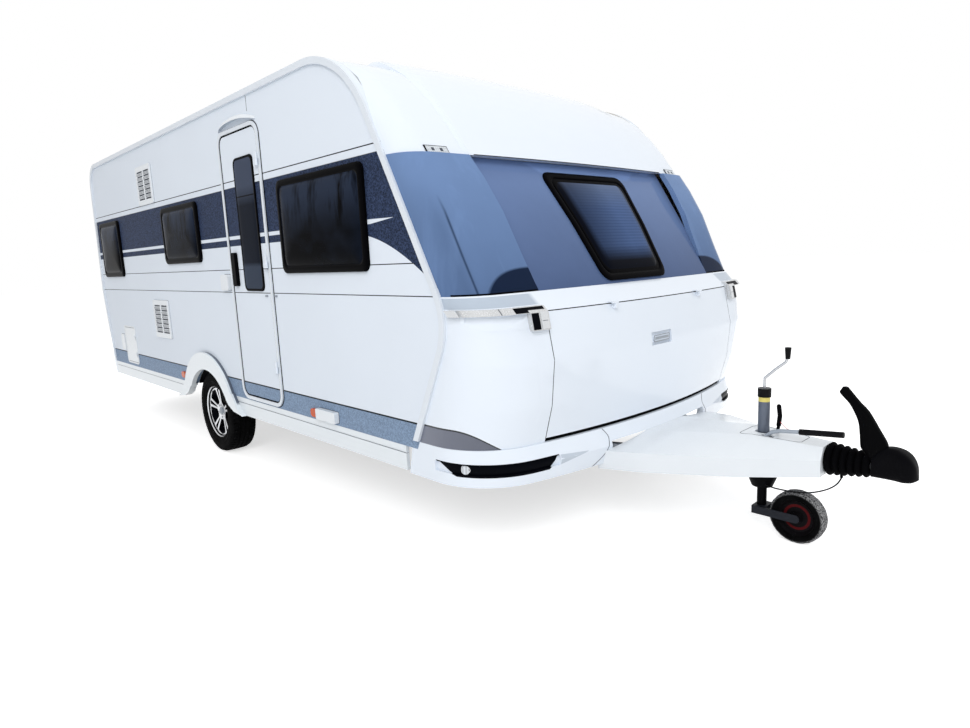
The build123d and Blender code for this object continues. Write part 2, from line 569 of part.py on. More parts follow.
def build_door():
    y_out = -HALF_W - DOOR_PROUD
    leaf = slab_y(panel(*DOOR_X, *DOOR_Z, DOOR_R), y_out, -HALF_W + WALL)
    leaf -= slab_y(panel(*DOOR_GLASS, 40.0, -16.0), -2000, 0)
    hinge_x = DOOR_X[1] + 12.0
    hinge_y = -HALF_W - HINGE_OUT
    frame_hinges = []
    for z in HINGE_Z:
        leaf += tube_z(hinge_x, hinge_y, z, z + 40.0, HINGE_R)
        leaf += box((DOOR_X[1] - 22.0, DOOR_X[1]), (hinge_y - 6.0, y_out), (z, z + 40.0))
        leaf += box((DOOR_X[1] - 22.0, hinge_x), (hinge_y - 6.0, hinge_y + 2.0), (z, z + 40.0))
        knuckle = tube_z(hinge_x, hinge_y, z + 40.0 + SEAT, z + 80.0, HINGE_R)
        knuckle += box((hinge_x, hinge_x + 17.0), (-HALF_W - FRAME_PROUD - 5.0, -HALF_W - FRAME_PROUD), (z + 40.0 + SEAT, z + 80.0))
        frame_hinges.append(knuckle)
    parts["door_leaf"] = leaf
    parts["door_window"] = slab_y(panel(*DOOR_GLASS, 40.0), y_out - 10.0, y_out - SEAT)
    opening = panel(*DOOR_X, *DOOR_Z, DOOR_R, GAP)
    liner = panel(*DOOR_X, *DOOR_Z, DOOR_R, GAP + FRAME_LINER)
    strip = panel(*DOOR_X, *DOOR_Z, DOOR_R, GAP + FRAME_W)
    stop = panel(*DOOR_X, *DOOR_Z, DOOR_R, -14.0)
    frame = slab_y(liner - opening, -HALF_W - SEAT, -HALF_W + WALL + GAP)
    frame += slab_y(strip - opening, -HALF_W - FRAME_PROUD, -HALF_W - SEAT)
    frame += slab_y(liner - stop, -HALF_W + WALL + GAP, -HALF_W + WALL + GAP + 8.0)
    for knuckle in frame_hinges:
        frame += knuckle
    parts["door_frame"] = frame - parts["floor_panel"]
    parts["door_handle"] = slab_y(panel(-100.0, -44.0, 1320.0, 1546.0, 14.0), y_out - 26.0, y_out - SEAT)


def build_flaps():
    x_low, x_high, z_low, z_high = CASSETTE_FLAP
    hinge_x, hinge_y = x_high + 10.0, -HALF_W - 12.0
    flap = slab_y(panel(*CASSETTE_FLAP, 20.0), -HALF_W - 4.0, -HALF_W + 24.0)
    ring = slab_y(panel(*CASSETTE_FLAP, 20.0, GAP + 14.0) - panel(*CASSETTE_FLAP, 20.0, GAP),
                  -HALF_W - 5.0, -HALF_W - SEAT)
    for z in (z_low + 60.0, z_high - 60.0 - 2 * KNUCKLE_L):
        middle = z + KNUCKLE_L
        flap += tube_z(hinge_x, hinge_y, z, middle, KNUCKLE_R)
        flap += box((x_high - 18.0, hinge_x), (hinge_y - KNUCKLE_R, hinge_y - 1.0), (z, middle))
        flap += box((x_high - 18.0, x_high - 1.0), (hinge_y - KNUCKLE_R, -HALF_W), (z, middle))
        ring += tube_z(hinge_x, hinge_y, middle + SEAT, middle + KNUCKLE_L, KNUCKLE_R)
        ring += box((hinge_x - 3.0, hinge_x + 8.0), (hinge_y, -HALF_W - 1.0), (middle + SEAT, middle + KNUCKLE_L))
    parts["cassette_flap"] = flap
    filler = slab_y(panel(*FILLER_FLAP, 14.0), -HALF_W - 10.0, -HALF_W - SEAT)
    luggage = mirror_y(slab_y(panel(*LUGGAGE_FLAP_LEFT, 20.0), -HALF_W - 8.0, -HALF_W - SEAT))
    inlet = mirror_y(slab_y(panel(-1650.0, -1500.0, 760.0, 930.0, 14.0), -HALF_W - 14.0, -HALF_W - SEAT))
    lock_box = slab_y(panel(-320.0, -200.0, 1290.0, 1400.0, 16.0), -HALF_W - 30.0, -HALF_W - SEAT)
    cowl = slab_y(panel(882.0, 1100.0, 530.0, 596.0, 10.0), -HALF_W - 30.0, -HALF_W - SEAT)
    parts["service_flaps"] = join(ring, filler, luggage, inlet, lock_box, cowl)
    vents = []
    for x0, x1, z0, z1 in VENTS:
        vent = slab_y(panel(x0, x1, z0, z1, 16.0), -HALF_W - 12.0, -HALF_W - SEAT)
        pitch = (z1 - z0 - 60.0) / VENT_ROWS
        for row in range(VENT_ROWS):
            z = z0 + 30.0 + pitch * (row + 0.5)
            for a, b in ((x0 + 30.0, (x0 + x1) / 2 - 12.0), ((x0 + x1) / 2 + 12.0, x1 - 30.0)):
                vent -= box((a, b), (-HALF_W - 20.0, -HALF_W - 5.0), (z - VENT_SLOT / 2, z + VENT_SLOT / 2))
        vents.append(vent)
    parts["fridge_vents"] = join(*vents)
    markers = [slab_y(Pos(x, z) * RectangleRounded(80.0, 52.0, 24.0), -HALF_W - 15.0, -HALF_W - SEAT)
               for x, z in MARKERS]
    parts["side_markers"] = both(join(*markers))
    x_low, x_high, z_end, z_mid = AWNING_LAMP
    middle = (x_low + x_high) / 2
    arch = make_face(Curve() + [
        Line((x_low, z_end - 16.0), (x_high, z_end - 16.0)),
        Line((x_high, z_end - 16.0), (x_high, z_end)),
        ThreePointArc((x_high, z_end), (middle, z_mid), (x_low, z_end)),
        Line((x_low, z_end), (x_low, z_end - 16.0)),
    ])
    parts["awning_lamp"] = slab_y(arch, -HALF_W - 36.0, -HALF_W - SEAT)


def build_hatches():
    frames = []
    for name, x_low, x_high, half in HATCHES:
        middle = (x_low + x_high) / 2
        plan = Pos(middle, 0) * RectangleRounded(x_high - x_low, 2 * half, 40.0)
        hole = Pos(middle, 0) * RectangleRounded(x_high - x_low - 60.0, 2 * half - 60.0, 25.0)
        frame = Pos(0, 0, HATCH_Z[0]) * extrude(plan - hole, amount=HATCH_Z[1] - HATCH_Z[0])
        top = Pos(middle, 0) * RectangleRounded(x_high - x_low - 10.0, 2 * half - 10.0, 36.0)
        lid = Pos(0, 0, HATCH_LID_Z[0]) * extrude(top, amount=HATCH_LID_Z[1] - HATCH_LID_Z[0])
        lid = chamfer(lid.faces().sort_by(Axis.Z)[-1].edges(), 18.0)
        under = Pos(middle, 0, HATCH_LID_Z[0] - 1) * extrude(
            RectangleRounded(x_high - x_low - 40.0, 2 * half - 40.0, 24.0), amount=24.0)
        lid -= under
        axis_x, axis_z = x_high + HATCH_AXIS[0], HATCH_AXIS[1]
        for side in (-1, 1):
            y0 = side * (half - 90.0)
            lid += tube_y(axis_x, axis_z, y0, y0 + KNUCKLE_L, KNUCKLE_R)
            lid += box((x_high - 12.0, axis_x), (y0, y0 + KNUCKLE_L), (axis_z - 4.0, axis_z + 4.0))
            y1 = y0 - SEAT
            frame += tube_y(axis_x, axis_z, y1 - KNUCKLE_L, y1, KNUCKLE_R)
            frame += box((axis_x - KNUCKLE_R, axis_x + KNUCKLE_R), (y1 - KNUCKLE_L, y1), (HATCH_Z[1] - 14.0, axis_z))
        parts[f"hatch_lid_{name}"] = lid
        frames.append(frame)
    parts["hatch_frames"] = join(*frames)


# ---- chassis and running gear ------------------------------------------------------------
def build_chassis():
    y_in, y_out = RAIL_Y
    z_low, z_high = RAIL_Z
    nose_in, nose_out = LEG_NOSE_Y
    front_x = NOSE_X[1]
    rail = box((RAIL_BACK_X, BEND_X), RAIL_Y, RAIL_Z)
    rail -= box((RAIL_BACK_X - 1, BEND_X), (y_in - 1, y_out - RAIL_T), (z_low + RAIL_T, z_high - RAIL_T))
    leg = make_face(Polyline((BEND_X, y_in), (BEND_X, y_out), (front_x, nose_out), (front_x, nose_in), close=True))
    core = make_face(Polyline((BEND_X, y_in - 1), (BEND_X, y_out - RAIL_T), (front_x + 1, nose_out - RAIL_T),
                              (front_x + 1, nose_in - 24.0), close=True))

    def side_view(inset):
        rows = [(BEND_X, z_low + inset), (BEND_X, z_high - inset), (LEG_TAPER_X, LEG_Z[1] - inset),
                (front_x + inset, LEG_Z[1] - inset), (front_x + inset, LEG_Z[0] + inset), (LEG_TAPER_X, LEG_Z[0] + inset)]
        return slab_y(make_face(Polyline(*rows, close=True)), -HALF_W, HALF_W)

    leg = (Pos(0, 0, LEG_Z[0] - 10.0) * extrude(leg, amount=200.0)) & side_view(0.0)
    leg -= (Pos(0, 0, LEG_Z[0] - 10.0) * extrude(core, amount=200.0)) & side_view(RAIL_T)
    rail = rail + leg
    rail = rail + mirror_y(rail)
    reach = y_out - RAIL_T / 2
    for x in CROSS_X:
        rail += box((x, x + CROSS_W), (-reach, reach), (z_low + 30.0, z_high - 10.0))
    slope = (y_out - nose_out) / (front_x - BEND_X)
    nose = [(x, sign * (nose_out - RAIL_T / 2 + slope * (front_x - x)))
            for x, sign in ((NOSE_X[0], -1), (NOSE_X[1], -1), (NOSE_X[1], 1), (NOSE_X[0], 1))]
    rail += Pos(0, 0, HITCH_Z - NOSE_HALF_H - 20.0) * extrude(make_face(Polyline(*nose, close=True)), amount=2 * NOSE_HALF_H + 20.0)
    x, z, radius = AXLE_TUBE
    rail -= tube_y(x, z, -700, 700, radius + SEAT)
    rail -= tube_x(0, HITCH_Z, NOSE_X[0] - 200.0, NOSE_X[1] + 10, OVERRUN_R + SEAT)
    parts["chassis"] = join(rail, steady_brackets())


def build_axle():
    x, z, radius = AXLE_TUBE
    inner = TRACK_Y - TYRE_W / 2
    arm_y = (inner - 50.0, inner - 8.0)
    axle = tube_y(x, z, -arm_y[0] - 8.0, arm_y[0] + 8.0, radius)
    for side in (-1, 1):
        profile = make_hull([*(Pos(x, z) * Circle(58.0)).edges(), *(Pos(AXLE_X, TYRE_R) * Circle(48.0)).edges()])
        axle += slab_y(profile, *sorted((side * arm_y[0], side * arm_y[1])))
        axle += tube_y(AXLE_X, TYRE_R, *sorted((side * (arm_y[1] - 12.0), side * (inner + 4.0))), 122.0)
        axle += tube_y(AXLE_X, TYRE_R, *sorted((side * inner, side * (TRACK_Y + 42.0))), HUB_R - RUN)
    parts["axle"] = axle


def revolve_y(points, x, z, y_centre, side):
    """Turns rows of radius and distance outwards from the centre plane about the hub."""
    face = make_face(Polyline(*[(r, a) for r, a in points], close=True))
    solid = revolve(face, Axis.Y, 360)
    if side < 0:
        solid = mirror(solid, about=Plane.XZ)
    return Pos(x, side * y_centre, z) * solid


def build_wheels():
    half = TYRE_W / 2
    seat = RIM_WIDTH / 2
    bore = RIM_FLANGE_R + SEAT
    tyre = [(bore, -half), (TYRE_R - TYRE_EDGE, -half), (TYRE_R, -half + TYRE_EDGE),
            (TYRE_R, half - TYRE_EDGE), (TYRE_R - TYRE_EDGE, half), (bore, half)]
    flange = seat + RIM_FLANGE_T
    barrel = [(RIM_FLANGE_R, -flange), (RIM_FLANGE_R, -seat), (BEAD_R, -seat), (BEAD_R - 20.0, -seat + 36.0),
              (BEAD_R - 20.0, seat - 36.0), (BEAD_R, seat), (RIM_FLANGE_R, seat), (RIM_FLANGE_R, flange),
              (RIM_FLANGE_R - 22.0, flange), (RIM_FLANGE_R - 44.0, seat - 34.0), (RIM_FLANGE_R - 44.0, -seat + 34.0),
              (RIM_FLANGE_R - 22.0, -flange)]
    hub = [(HUB_R, -80.0), (104.0, -80.0), (104.0, -22.0), (72.0, -10.0), (72.0, 18.0), (RIM_FLANGE_R - 32.0, 34.0),
           (RIM_FLANGE_R - 26.0, 64.0), (60.0, 56.0), (34.0, 56.0), (34.0, 66.0), (0.0, 66.0), (0.0, 52.0), (HUB_R, 52.0)]
    pitch = 360.0 / SPOKES
    for side, name in ((-1, "right"), (1, "left")):
        parts[f"tyre_{name}"] = revolve_y(tyre, AXLE_X, TYRE_R, TRACK_Y, side)
        rim = revolve_y(barrel, AXLE_X, TYRE_R, TRACK_Y, side) + revolve_y(hub, AXLE_X, TYRE_R, TRACK_Y, side)
        for k in range(SPOKES):
            for turn, half_in, half_out in ((0.0, 20.0, 46.0), (pitch / 2, 5.0, 16.0)):
                window = Rot(0, 0, pitch * k + turn + 90.0) * make_face(Polyline(
                    (82.0, -half_in), (82.0, half_in), (156.0, half_out), (156.0, -half_out), close=True))
                rim -= Pos(AXLE_X, 0, TYRE_R) * slab_y(window, *sorted((side * (TRACK_Y - 10.0), side * (TRACK_Y + 90.0))))
        parts[f"rim_{name}"] = rim


def cover_section(x, half, foot, crease, top_half, top, inset=0.0, fall=0.0):
    """Section of the drawbar cover, across the drawbar."""
    w, p = half - inset, top_half - inset / 2
    face = make_face(Polyline((-w, foot - fall), (-w, crease - inset / 2), (-p, top - inset), (p, top - inset),
                              (w, crease - inset / 2), (w, foot - fall), close=True))
    return Pos(x, 0, 0) * (Plane.YZ * face)


def build_drawbar():
    x_back, x_front = COVER[0][0], COVER[-1][0]
    cover = loft([cover_section(*row) for row in COVER], ruled=True)
    hollow = [cover_section(*row, COVER_T, 20.0) for row in COVER]
    hollow[0] = Pos(-1.0, 0, 0) * hollow[0]
    hollow[-1] = Pos(-COVER_T, 0, 0) * hollow[-1]
    cover -= loft(hollow, ruled=True)
    cover -= tube_z(JOCKEY_X, 0, 300, 700, JOCKEY_TUBE_R + 12.0)
    cover -= tube_x(0, HITCH_Z, x_front - 30, x_front + 10, OVERRUN_R + 11.0)
    slot_x = (HANDBRAKE[0][0] - 16.0, HANDBRAKE[1][0] + 12.0)
    cover -= box(slot_x, (HANDBRAKE_Y - HANDBRAKE_R - 5.0, HANDBRAKE_Y + HANDBRAKE_R + 5.0), (HITCH_Z + 34.0, 700))
    grip_foot = (HITCH_Z + 34.0, 700)
    cover -= tube_z(CLAMP_GRIP[0][0] + 4.0, CLAMP_GRIP_Y, *grip_foot, 13.0)
    cover -= end_solid(FRONT_BUMPER, BUMPER_BACK_X, -SEAT)
    parts["drawbar_cover"] = cover
    first_x, last_x, first_r, last_r, count = BELLOWS
    parts["overrun_tube"] = tube_x(0, HITCH_Z, NOSE_X[0], HEAD[0][0] + 50.0, OVERRUN_R)
    pitch = (last_x - first_x) / count
    rows = [(OVERRUN_R + SEAT, first_x - 4.0)]
    for k in range(count):
        rib = first_r + (last_r - first_r) * (k + 0.5) / count
        rows += [(rib - 16.0, first_x + pitch * k), (rib, first_x + pitch * (k + 0.5))]
    rows += [(last_r - 16.0, last_x), (OVERRUN_R + SEAT, last_x)]
    sleeve = revolve(make_face(Polyline(*rows, close=True)), Axis.Y, 360)
    sleeve = Pos(0, 0, HITCH_Z) * (Rot(0, 0, -90) * sleeve)
    x, y, z, radius = BELLOWS_GLAND
    sleeve += tube_z(x, y, z, HITCH_Z - last_r + 20.0, radius)
    parts["bellows"] = sleeve
    head = slab_y(make_face(Polyline(*HEAD, close=True)), -50, 50)
    head &= tube_z(BALL_X - 8.0, 0, 300, 600, 56.0) + box((3500.0, BALL_X - 8.0), (-42.0, 42.0), (300.0, 600.0))
    head -= tube_x(0, HITCH_Z, 3440, HEAD[0][0] + 50.0 + SEAT, OVERRUN_R + SEAT)
    head -= tube_z(BALL_X, 0, HEAD_Z - 10.0, HEAD_Z + BALL_DEPTH, BALL_R)
    parts["coupling_head"] = head
    lever = slab_y(make_face(Polyline(*LEVER, close=True)), -60, 60)
    wide, thin = LEVER_HALF_T
    z_foot, z_tip = LEVER[7][1], LEVER[1][1]
    lever &= slab_x(make_face(Polyline((-wide, z_foot - 5), (wide, z_foot - 5), (thin, z_tip + 5), (-thin, z_tip + 5),
                                       close=True)), 3300, 3600)
    lever -= parts["coupling_head"]
    parts["coupling_lever"] = lever - tube_x(0, HITCH_Z, 3400, 3600, last_r + 9.0)
    y = HANDBRAKE_Y
    hand = box((HANDBRAKE[0][0] - 8.0, NOSE_X[0] + 30.0), (y - 5.0, y + 5.0), (HITCH_Z + NOSE_HALF_H + SEAT, 512.0))
    for (x0, z0), (x1, z1) in zip(HANDBRAKE, HANDBRAKE[1:]):
        hand += bar((x0, y, z0), (x1, y, z1), HANDBRAKE_R)
        hand += Pos(x0, y, z0) * Sphere(HANDBRAKE_R)
    hand += bar((HANDBRAKE[-2][0], y, HANDBRAKE[-2][1]), (HANDBRAKE[-1][0], y, HANDBRAKE[-1][1]), GRIP_R)
    parts["handbrake_lever"] = hand


def chain(points, y, radius):
    """Round rod through points given as x, z, with rounded bends."""
    rod = None
    for (x0, z0), (x1, z1) in zip(points, points[1:]):
        piece = bar((x0, y, z0), (x1, y, z1), radius) + Pos(x1, y, z1) * Sphere(radius)
        rod = piece if rod is None else rod + piece
    return rod


def build_jockey():
    bore = JOCKEY_TUBE_R + SEAT
    foot_r, top_r, z_low, z_mid = FUNNEL
    z_top = HITCH_Z + NOSE_HALF_H + 8.0
    clamp = Pos(JOCKEY_X, 0, (z_low + z_mid) / 2) * Cone(foot_r, top_r, z_mid - z_low)
    clamp += tube_z(JOCKEY_X, 0, z_mid, z_mid + 40.0, top_r) + tube_z(JOCKEY_X, 0, z_mid, z_top, 42.0)
    clamp += box((JOCKEY_X - 14, JOCKEY_X + 14), (-155.0, 155.0), (LEG_Z[0] + 20.0, LEG_Z[1] - 20.0))
    clamp += chain([(JOCKEY_X + 30.0, 480.0)] + CLAMP_GRIP[:2], CLAMP_GRIP_Y, 8.0)
    clamp += chain(CLAMP_GRIP[1:], CLAMP_GRIP_Y, 11.0)
    clamp -= tube_z(JOCKEY_X, 0, z_low - 10.0, z_top + 10.0, bore)
    parts["jockey_clamp"] = (clamp - parts["chassis"]).solids().sort_by(SortBy.VOLUME)[-1]
    wall = JOCKEY_TUBE_R - JOCKEY_LEG_R - RUN
    mast = tube_z(JOCKEY_X, 0, *MAST_Z, JOCKEY_TUBE_R)
    mast -= tube_z(JOCKEY_X, 0, MAST_Z[0] - 10.0, MAST_Z[1] - wall, JOCKEY_LEG_R + RUN)
    parts["jockey_mast"] = mast
    crank = tube_z(JOCKEY_X, 0, MAST_Z[1] + SEAT, COLLAR_TOP_Z, JOCKEY_TUBE_R + 4.0) + chain(CRANK, 0, CRANK_R)
    x, z_low, z_high, radius = CRANK_GRIP
    crank += Pos(x, 0, (z_low + z_high) / 2) * Cone(radius - 4.0, radius, z_high - z_low)
    parts["jockey_crank"] = crank
    leg = tube_z(JOCKEY_X, 0, FORK_Z[1] + SEAT, MAST_Z[1] - LEG_HEADROOM, JOCKEY_LEG_R)
    leg += tube_z(JOCKEY_X, 0, FORK_Z[0] - 5.0, FORK_Z[1] + 1.0, SPIGOT_R)
    parts["jockey_leg"] = leg
    half = JOCKEY_WHEEL_W / 2 + FORK_T
    back, mouth = JOCKEY_X - 30.0, JOCKEY_X + 34.0
    fork = box((back, mouth), (-half - FORK_T, half + FORK_T), FORK_Z)
    plate = outline_face([(back, FORK_Z[0], 8.0), (back, FORK_Z[1], 8.0), (JOCKEY_WHEEL_X + 22.0, FORK_Z[1], 18.0),
                          (JOCKEY_WHEEL_X + 22.0, FORK_Z[0], 18.0)])
    fork += slab_y(plate, -half - FORK_T, -half) + slab_y(plate, half, half + FORK_T)
    fork += tube_y(JOCKEY_WHEEL_X, JOCKEY_WHEEL_R, -half - 2.0, half + 2.0, JOCKEY_AXLE_R - RUN)
    fork -= tube_z(JOCKEY_X, 0, 50, 280, SPIGOT_R + RUN)
    parts["jockey_fork"] = fork
    w = JOCKEY_WHEEL_W / 2
    edge_r = JOCKEY_WHEEL_R - JOCKEY_TYRE_EDGE
    tyre = [(JOCKEY_RIM_R, -w), (edge_r, -w), (JOCKEY_WHEEL_R, -w + JOCKEY_TYRE_EDGE),
            (JOCKEY_WHEEL_R, w - JOCKEY_TYRE_EDGE), (edge_r, w), (JOCKEY_RIM_R, w)]
    parts["jockey_tyre"] = Pos(JOCKEY_WHEEL_X, 0, JOCKEY_WHEEL_R) * revolve(make_face(Polyline(*tyre, close=True)), Axis.Y, 360)
    edge = JOCKEY_RIM_R - SEAT
    disc = [(JOCKEY_AXLE_R, -w), (24.0, -w), (30.0, -14.0), (edge - 14.0, -14.0), (edge, -w + 4.0),
            (edge, w - 4.0), (edge - 14.0, 14.0), (30.0, 14.0), (24.0, w), (JOCKEY_AXLE_R, w)]
    parts["jockey_rim"] = Pos(JOCKEY_WHEEL_X, 0, JOCKEY_WHEEL_R) * revolve(make_face(Polyline(*disc, close=True)), Axis.Y, 360)


def steady_brackets():
    """Plates under the floor that the corner steadies fold on."""
    brackets = []
    for _, x, way in STEADIES:
        top = box((x - way * 40.0, x + way * 500.0), (-STEADY_Y - 40.0, -STEADY_Y + 40.0), (506.0, FLOOR_Z - SEAT))
        for y in (-STEADY_Y - 34.0, -STEADY_Y + 28.0):
            top += box((x - 25.0, x + 25.0), (y, y + 6.0), (STEADY_Z - 25.0, 507.0))
        top += tube_y(x, STEADY_Z, -STEADY_Y - 36.0, -STEADY_Y + 36.0, 8.0 - RUN)
        brackets.append(top)
    return both(join(*brackets))


def build_steadies():
    for name, x, way in STEADIES:
        arm = box((x - way * 20.0, x + way * STEADY_L), (-STEADY_Y - 20.0, -STEADY_Y + 20.0), (STEADY_Z - 20.0, STEADY_Z + 20.0))
        arm += box((x + way * (STEADY_L - 12.0), x + way * STEADY_L), (-STEADY_Y - 45.0, -STEADY_Y + 45.0), (STEADY_Z - 34.0, STEADY_Z + 30.0))
        arm -= tube_y(x, STEADY_Z, -STEADY_Y - 30.0, -STEADY_Y + 30.0, 8.0)
        parts[f"steady_{name}_right"] = arm
        parts[f"steady_{name}_left"] = mirror_y(arm)


def cord(points, radius):
    """Round cord along straight runs joined by the largest tangent arcs that the runs allow."""
    route = [Vector(*point) for point in points]
    radii = []
    for a, b, c in zip(route, route[1:], route[2:]):
        turn = math.radians((b - a).get_angle(c - b))
        radii.append(0.45 * min((b - a).length, (c - b).length) / math.tan(turn / 2))
    path = FilletPolyline(*route, radius=radii)
    print("cord radii", [round(r) for r in radii], "length", round(path.length))
    return sweep(Plane(origin=route[0], z_dir=route[1] - route[0]) * Circle(radius), path=path)


def build_cords():
    parts["drawbar_cable"] = cord(CABLE, CABLE_R)
    parts["breakaway_wire"] = cord(WIRE, WIRE_R)


for step in (build_front, build_rear, build_walls, build_floor, build_arches, build_trims, build_door,
             build_flaps, build_hatches, build_chassis, build_axle, build_wheels, build_drawbar,
             build_jockey, build_steadies, build_cords):
    step()

for name, shape in parts.items():
    bounds = shape.bounding_box()
    print(f"{name:24s} solids {len(shape.solids())} litres {shape.volume / 1e6:7.2f} valid {shape.is_valid} "
          f"x {bounds.min.X:.0f}..{bounds.max.X:.0f} y {bounds.min.Y:.0f}..{bounds.max.Y:.0f} "
          f"z {bounds.min.Z:.0f}..{bounds.max.Z:.0f}")
    export_step(shape, f"parts/{name}.step")
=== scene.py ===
# Looks of the touring caravan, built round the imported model. Metres, +X forwards, +Y left, +Z up.
import bpy
import math
import numpy as np
from mathutils import Matrix


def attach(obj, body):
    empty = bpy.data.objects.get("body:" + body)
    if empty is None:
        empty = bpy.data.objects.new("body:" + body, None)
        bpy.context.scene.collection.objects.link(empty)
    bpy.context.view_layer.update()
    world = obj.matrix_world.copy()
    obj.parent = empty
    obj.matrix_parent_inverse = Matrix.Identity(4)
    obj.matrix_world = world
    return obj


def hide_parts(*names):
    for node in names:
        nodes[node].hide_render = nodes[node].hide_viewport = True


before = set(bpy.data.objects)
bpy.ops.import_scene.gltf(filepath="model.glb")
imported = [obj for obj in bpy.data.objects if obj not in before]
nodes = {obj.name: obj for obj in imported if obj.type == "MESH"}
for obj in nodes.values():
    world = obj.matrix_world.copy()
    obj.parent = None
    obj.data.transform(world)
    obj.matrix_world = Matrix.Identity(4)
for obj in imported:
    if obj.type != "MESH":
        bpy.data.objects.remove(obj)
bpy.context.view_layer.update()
scene = bpy.context.scene
scene.view_settings.view_transform = "Standard"
print("frame loaded:", len(nodes), "nodes")


def placed(right, up, back, place):
    # a 4 x 4 matrix from three axes and a place
    matrix = np.eye(4)
    matrix[:3, 0], matrix[:3, 1], matrix[:3, 2], matrix[:3, 3] = right, up, back, place
    return Matrix(matrix.tolist())


view = {"place": (4.364, -3.149, 1.453), "yaw": 136.69, "pitch": -9.45, "roll": -2.6, "lens": 24.215}


def aimCamera():
    # looks along yaw and pitch, then leans by roll
    yaw, pitch, roll = (math.radians(view[k]) for k in ("yaw", "pitch", "roll"))
    ahead = np.array([math.cos(yaw) * math.cos(pitch), math.sin(yaw) * math.cos(pitch), math.sin(pitch)])
    level = np.array([math.sin(yaw), -math.cos(yaw), 0.0])
    above = np.cross(level, ahead)
    right = math.cos(roll) * level + math.sin(roll) * above
    up = math.cos(roll) * above - math.sin(roll) * level
    data = bpy.data.cameras.new("camera")
    data.lens = view["lens"]
    data.sensor_width = 36.0
    data.clip_end = 200.0
    camera = bpy.data.objects.new("camera", data)
    scene.collection.objects.link(camera)
    camera.matrix_world = placed(right, up, -ahead, view["place"])
    scene.camera = camera


aimCamera()
print("camera aimed")


class Signal:
    # a socket that takes part in plain arithmetic
    def __init__(self, graph, socket):
        self.graph, self.socket = graph, socket

    def __add__(self, other):
        return self.graph.maths("ADD", self, other)

    __radd__ = __add__

    def __mul__(self, other):
        return self.graph.maths("MULTIPLY", self, other)

    __rmul__ = __mul__

    def __sub__(self, other):
        return self.graph.maths("SUBTRACT", self, other)

    def __rsub__(self, other):
        return self.graph.maths("SUBTRACT", other, self)

    def __truediv__(self, other):
        return self.graph.maths("DIVIDE", self, other)

    def __pow__(self, other):
        return self.graph.maths("POWER", self, other)

    def __abs__(self):
        return self.graph.maths("ABSOLUTE", self)

    def over(self, edge, soft=0.001):
        # 0 below the edge, 1 above it, over a soft width
        return self.graph.maths("ADD", (self - edge) / soft, 0.5, clamp=True)

    def least(self, other):
        return self.graph.maths("MINIMUM", self, other)

    def most(self, other):
        return self.graph.maths("MAXIMUM", self, other)

    def wrap(self, period):
        return self.graph.maths("PINGPONG", self, period)


class Graph:
    # a node tree: every node comes from add(), with its settings first and then its sockets
    def __init__(self, tree):
        self.tree = tree
        tree.nodes.clear()

    def add(self, kind, settings=(), inputs=(), out=0):
        node = self.tree.nodes.new(kind)
        for key, value in dict(settings).items():
            setattr(node, key, value)
        for key, value in dict(inputs).items():
            if isinstance(value, Signal):
                self.tree.links.new(value.socket, node.inputs[key])
            elif isinstance(value, tuple) and len(value) == 3 and node.inputs[key].type == "RGBA":
                node.inputs[key].default_value = (*value, 1.0)
            else:
                node.inputs[key].default_value = value
        return Signal(self, node.outputs[out]) if len(node.outputs) else None

    def maths(self, operation, a, b=0.0, clamp=False):
        return self.add("ShaderNodeMath", {"operation": operation, "use_clamp": clamp}, {0: a, 1: b})


class Paint(Graph):
    def __init__(self, name):
        self.material = bpy.data.materials.new(name)
        self.material.use_nodes = True
        super().__init__(self.material.node_tree)
        self.spot = self.add("ShaderNodeTexCoord", out="Object")
        self.x, self.y, self.z = (self.add("ShaderNodeSeparateXYZ", {}, {0: self.spot}, out=k) for k in range(3))

    def band(self, value, low, high, soft=0.001):
        # 1 between low and high
        return value.over(low, soft) * (1 - value.over(high, soft))

    def mix(self, mask, below, above):
        # colour `below` where the mask is 0, `above` where it is 1
        return self.add("ShaderNodeMix", {"data_type": "RGBA"}, {0: mask, 6: below, 7: above}, out=2)

    def cells(self, scale, feature="SMOOTH_F1", out="Distance"):
        return self.add("ShaderNodeTexVoronoi", {"feature": feature}, {"Vector": self.spot, "Scale": scale}, out)

    def noise(self, scale, detail=3.0, rough=0.5, stretch=(1, 1, 1)):
        where = self.add("ShaderNodeMapping", {}, {"Vector": self.spot, "Scale": stretch})
        return self.add("ShaderNodeTexNoise", {},
                        {"Vector": where, "Scale": scale, "Detail": detail, "Roughness": rough})

    def away(self, x, z):
        # distance from an upright plane's point (x, z): the root of the summed squares
        return ((self.x - x) * (self.x - x) + (self.z - z) * (self.z - z)) ** 0.5

    def bump(self, height, strength=0.3, reach=0.001):
        return self.add("ShaderNodeBump", {}, {"Height": height, "Strength": strength, "Distance": reach})

    def finish(self, **looks):
        # looks: Principled inputs, with spaces written as _
        inputs = {key.replace("_", " "): value for key, value in looks.items()}
        self.add("ShaderNodeOutputMaterial", {}, {0: self.add("ShaderNodeBsdfPrincipled", {}, inputs)})
        return self.material


def shade(colour, factor):
    return tuple(min(1.0, c * factor) for c in colour)


def plainPaint(name, colour, rough, grainScale=220.0, grain=0.12, vary=0.12, metal=0.0, coat=0.0, rim=0.5):
    # moulded, painted or plated surface with a fine grain and slight colour change
    paint = Paint(name)
    cloud = paint.noise(7.0, 4.0, 0.6)
    fine = paint.noise(grainScale, 2.0, 0.6)
    base = paint.mix(cloud, shade(colour, 1 - vary), shade(colour, 1 + vary))
    return paint.finish(Base_Color=base, Roughness=fine * 0.16 + (rough - 0.08), Metallic=metal, Coat_Weight=coat,
                        Coat_Roughness=0.08, Specular_IOR_Level=rim, Normal=paint.bump(fine, grain, 0.0006))


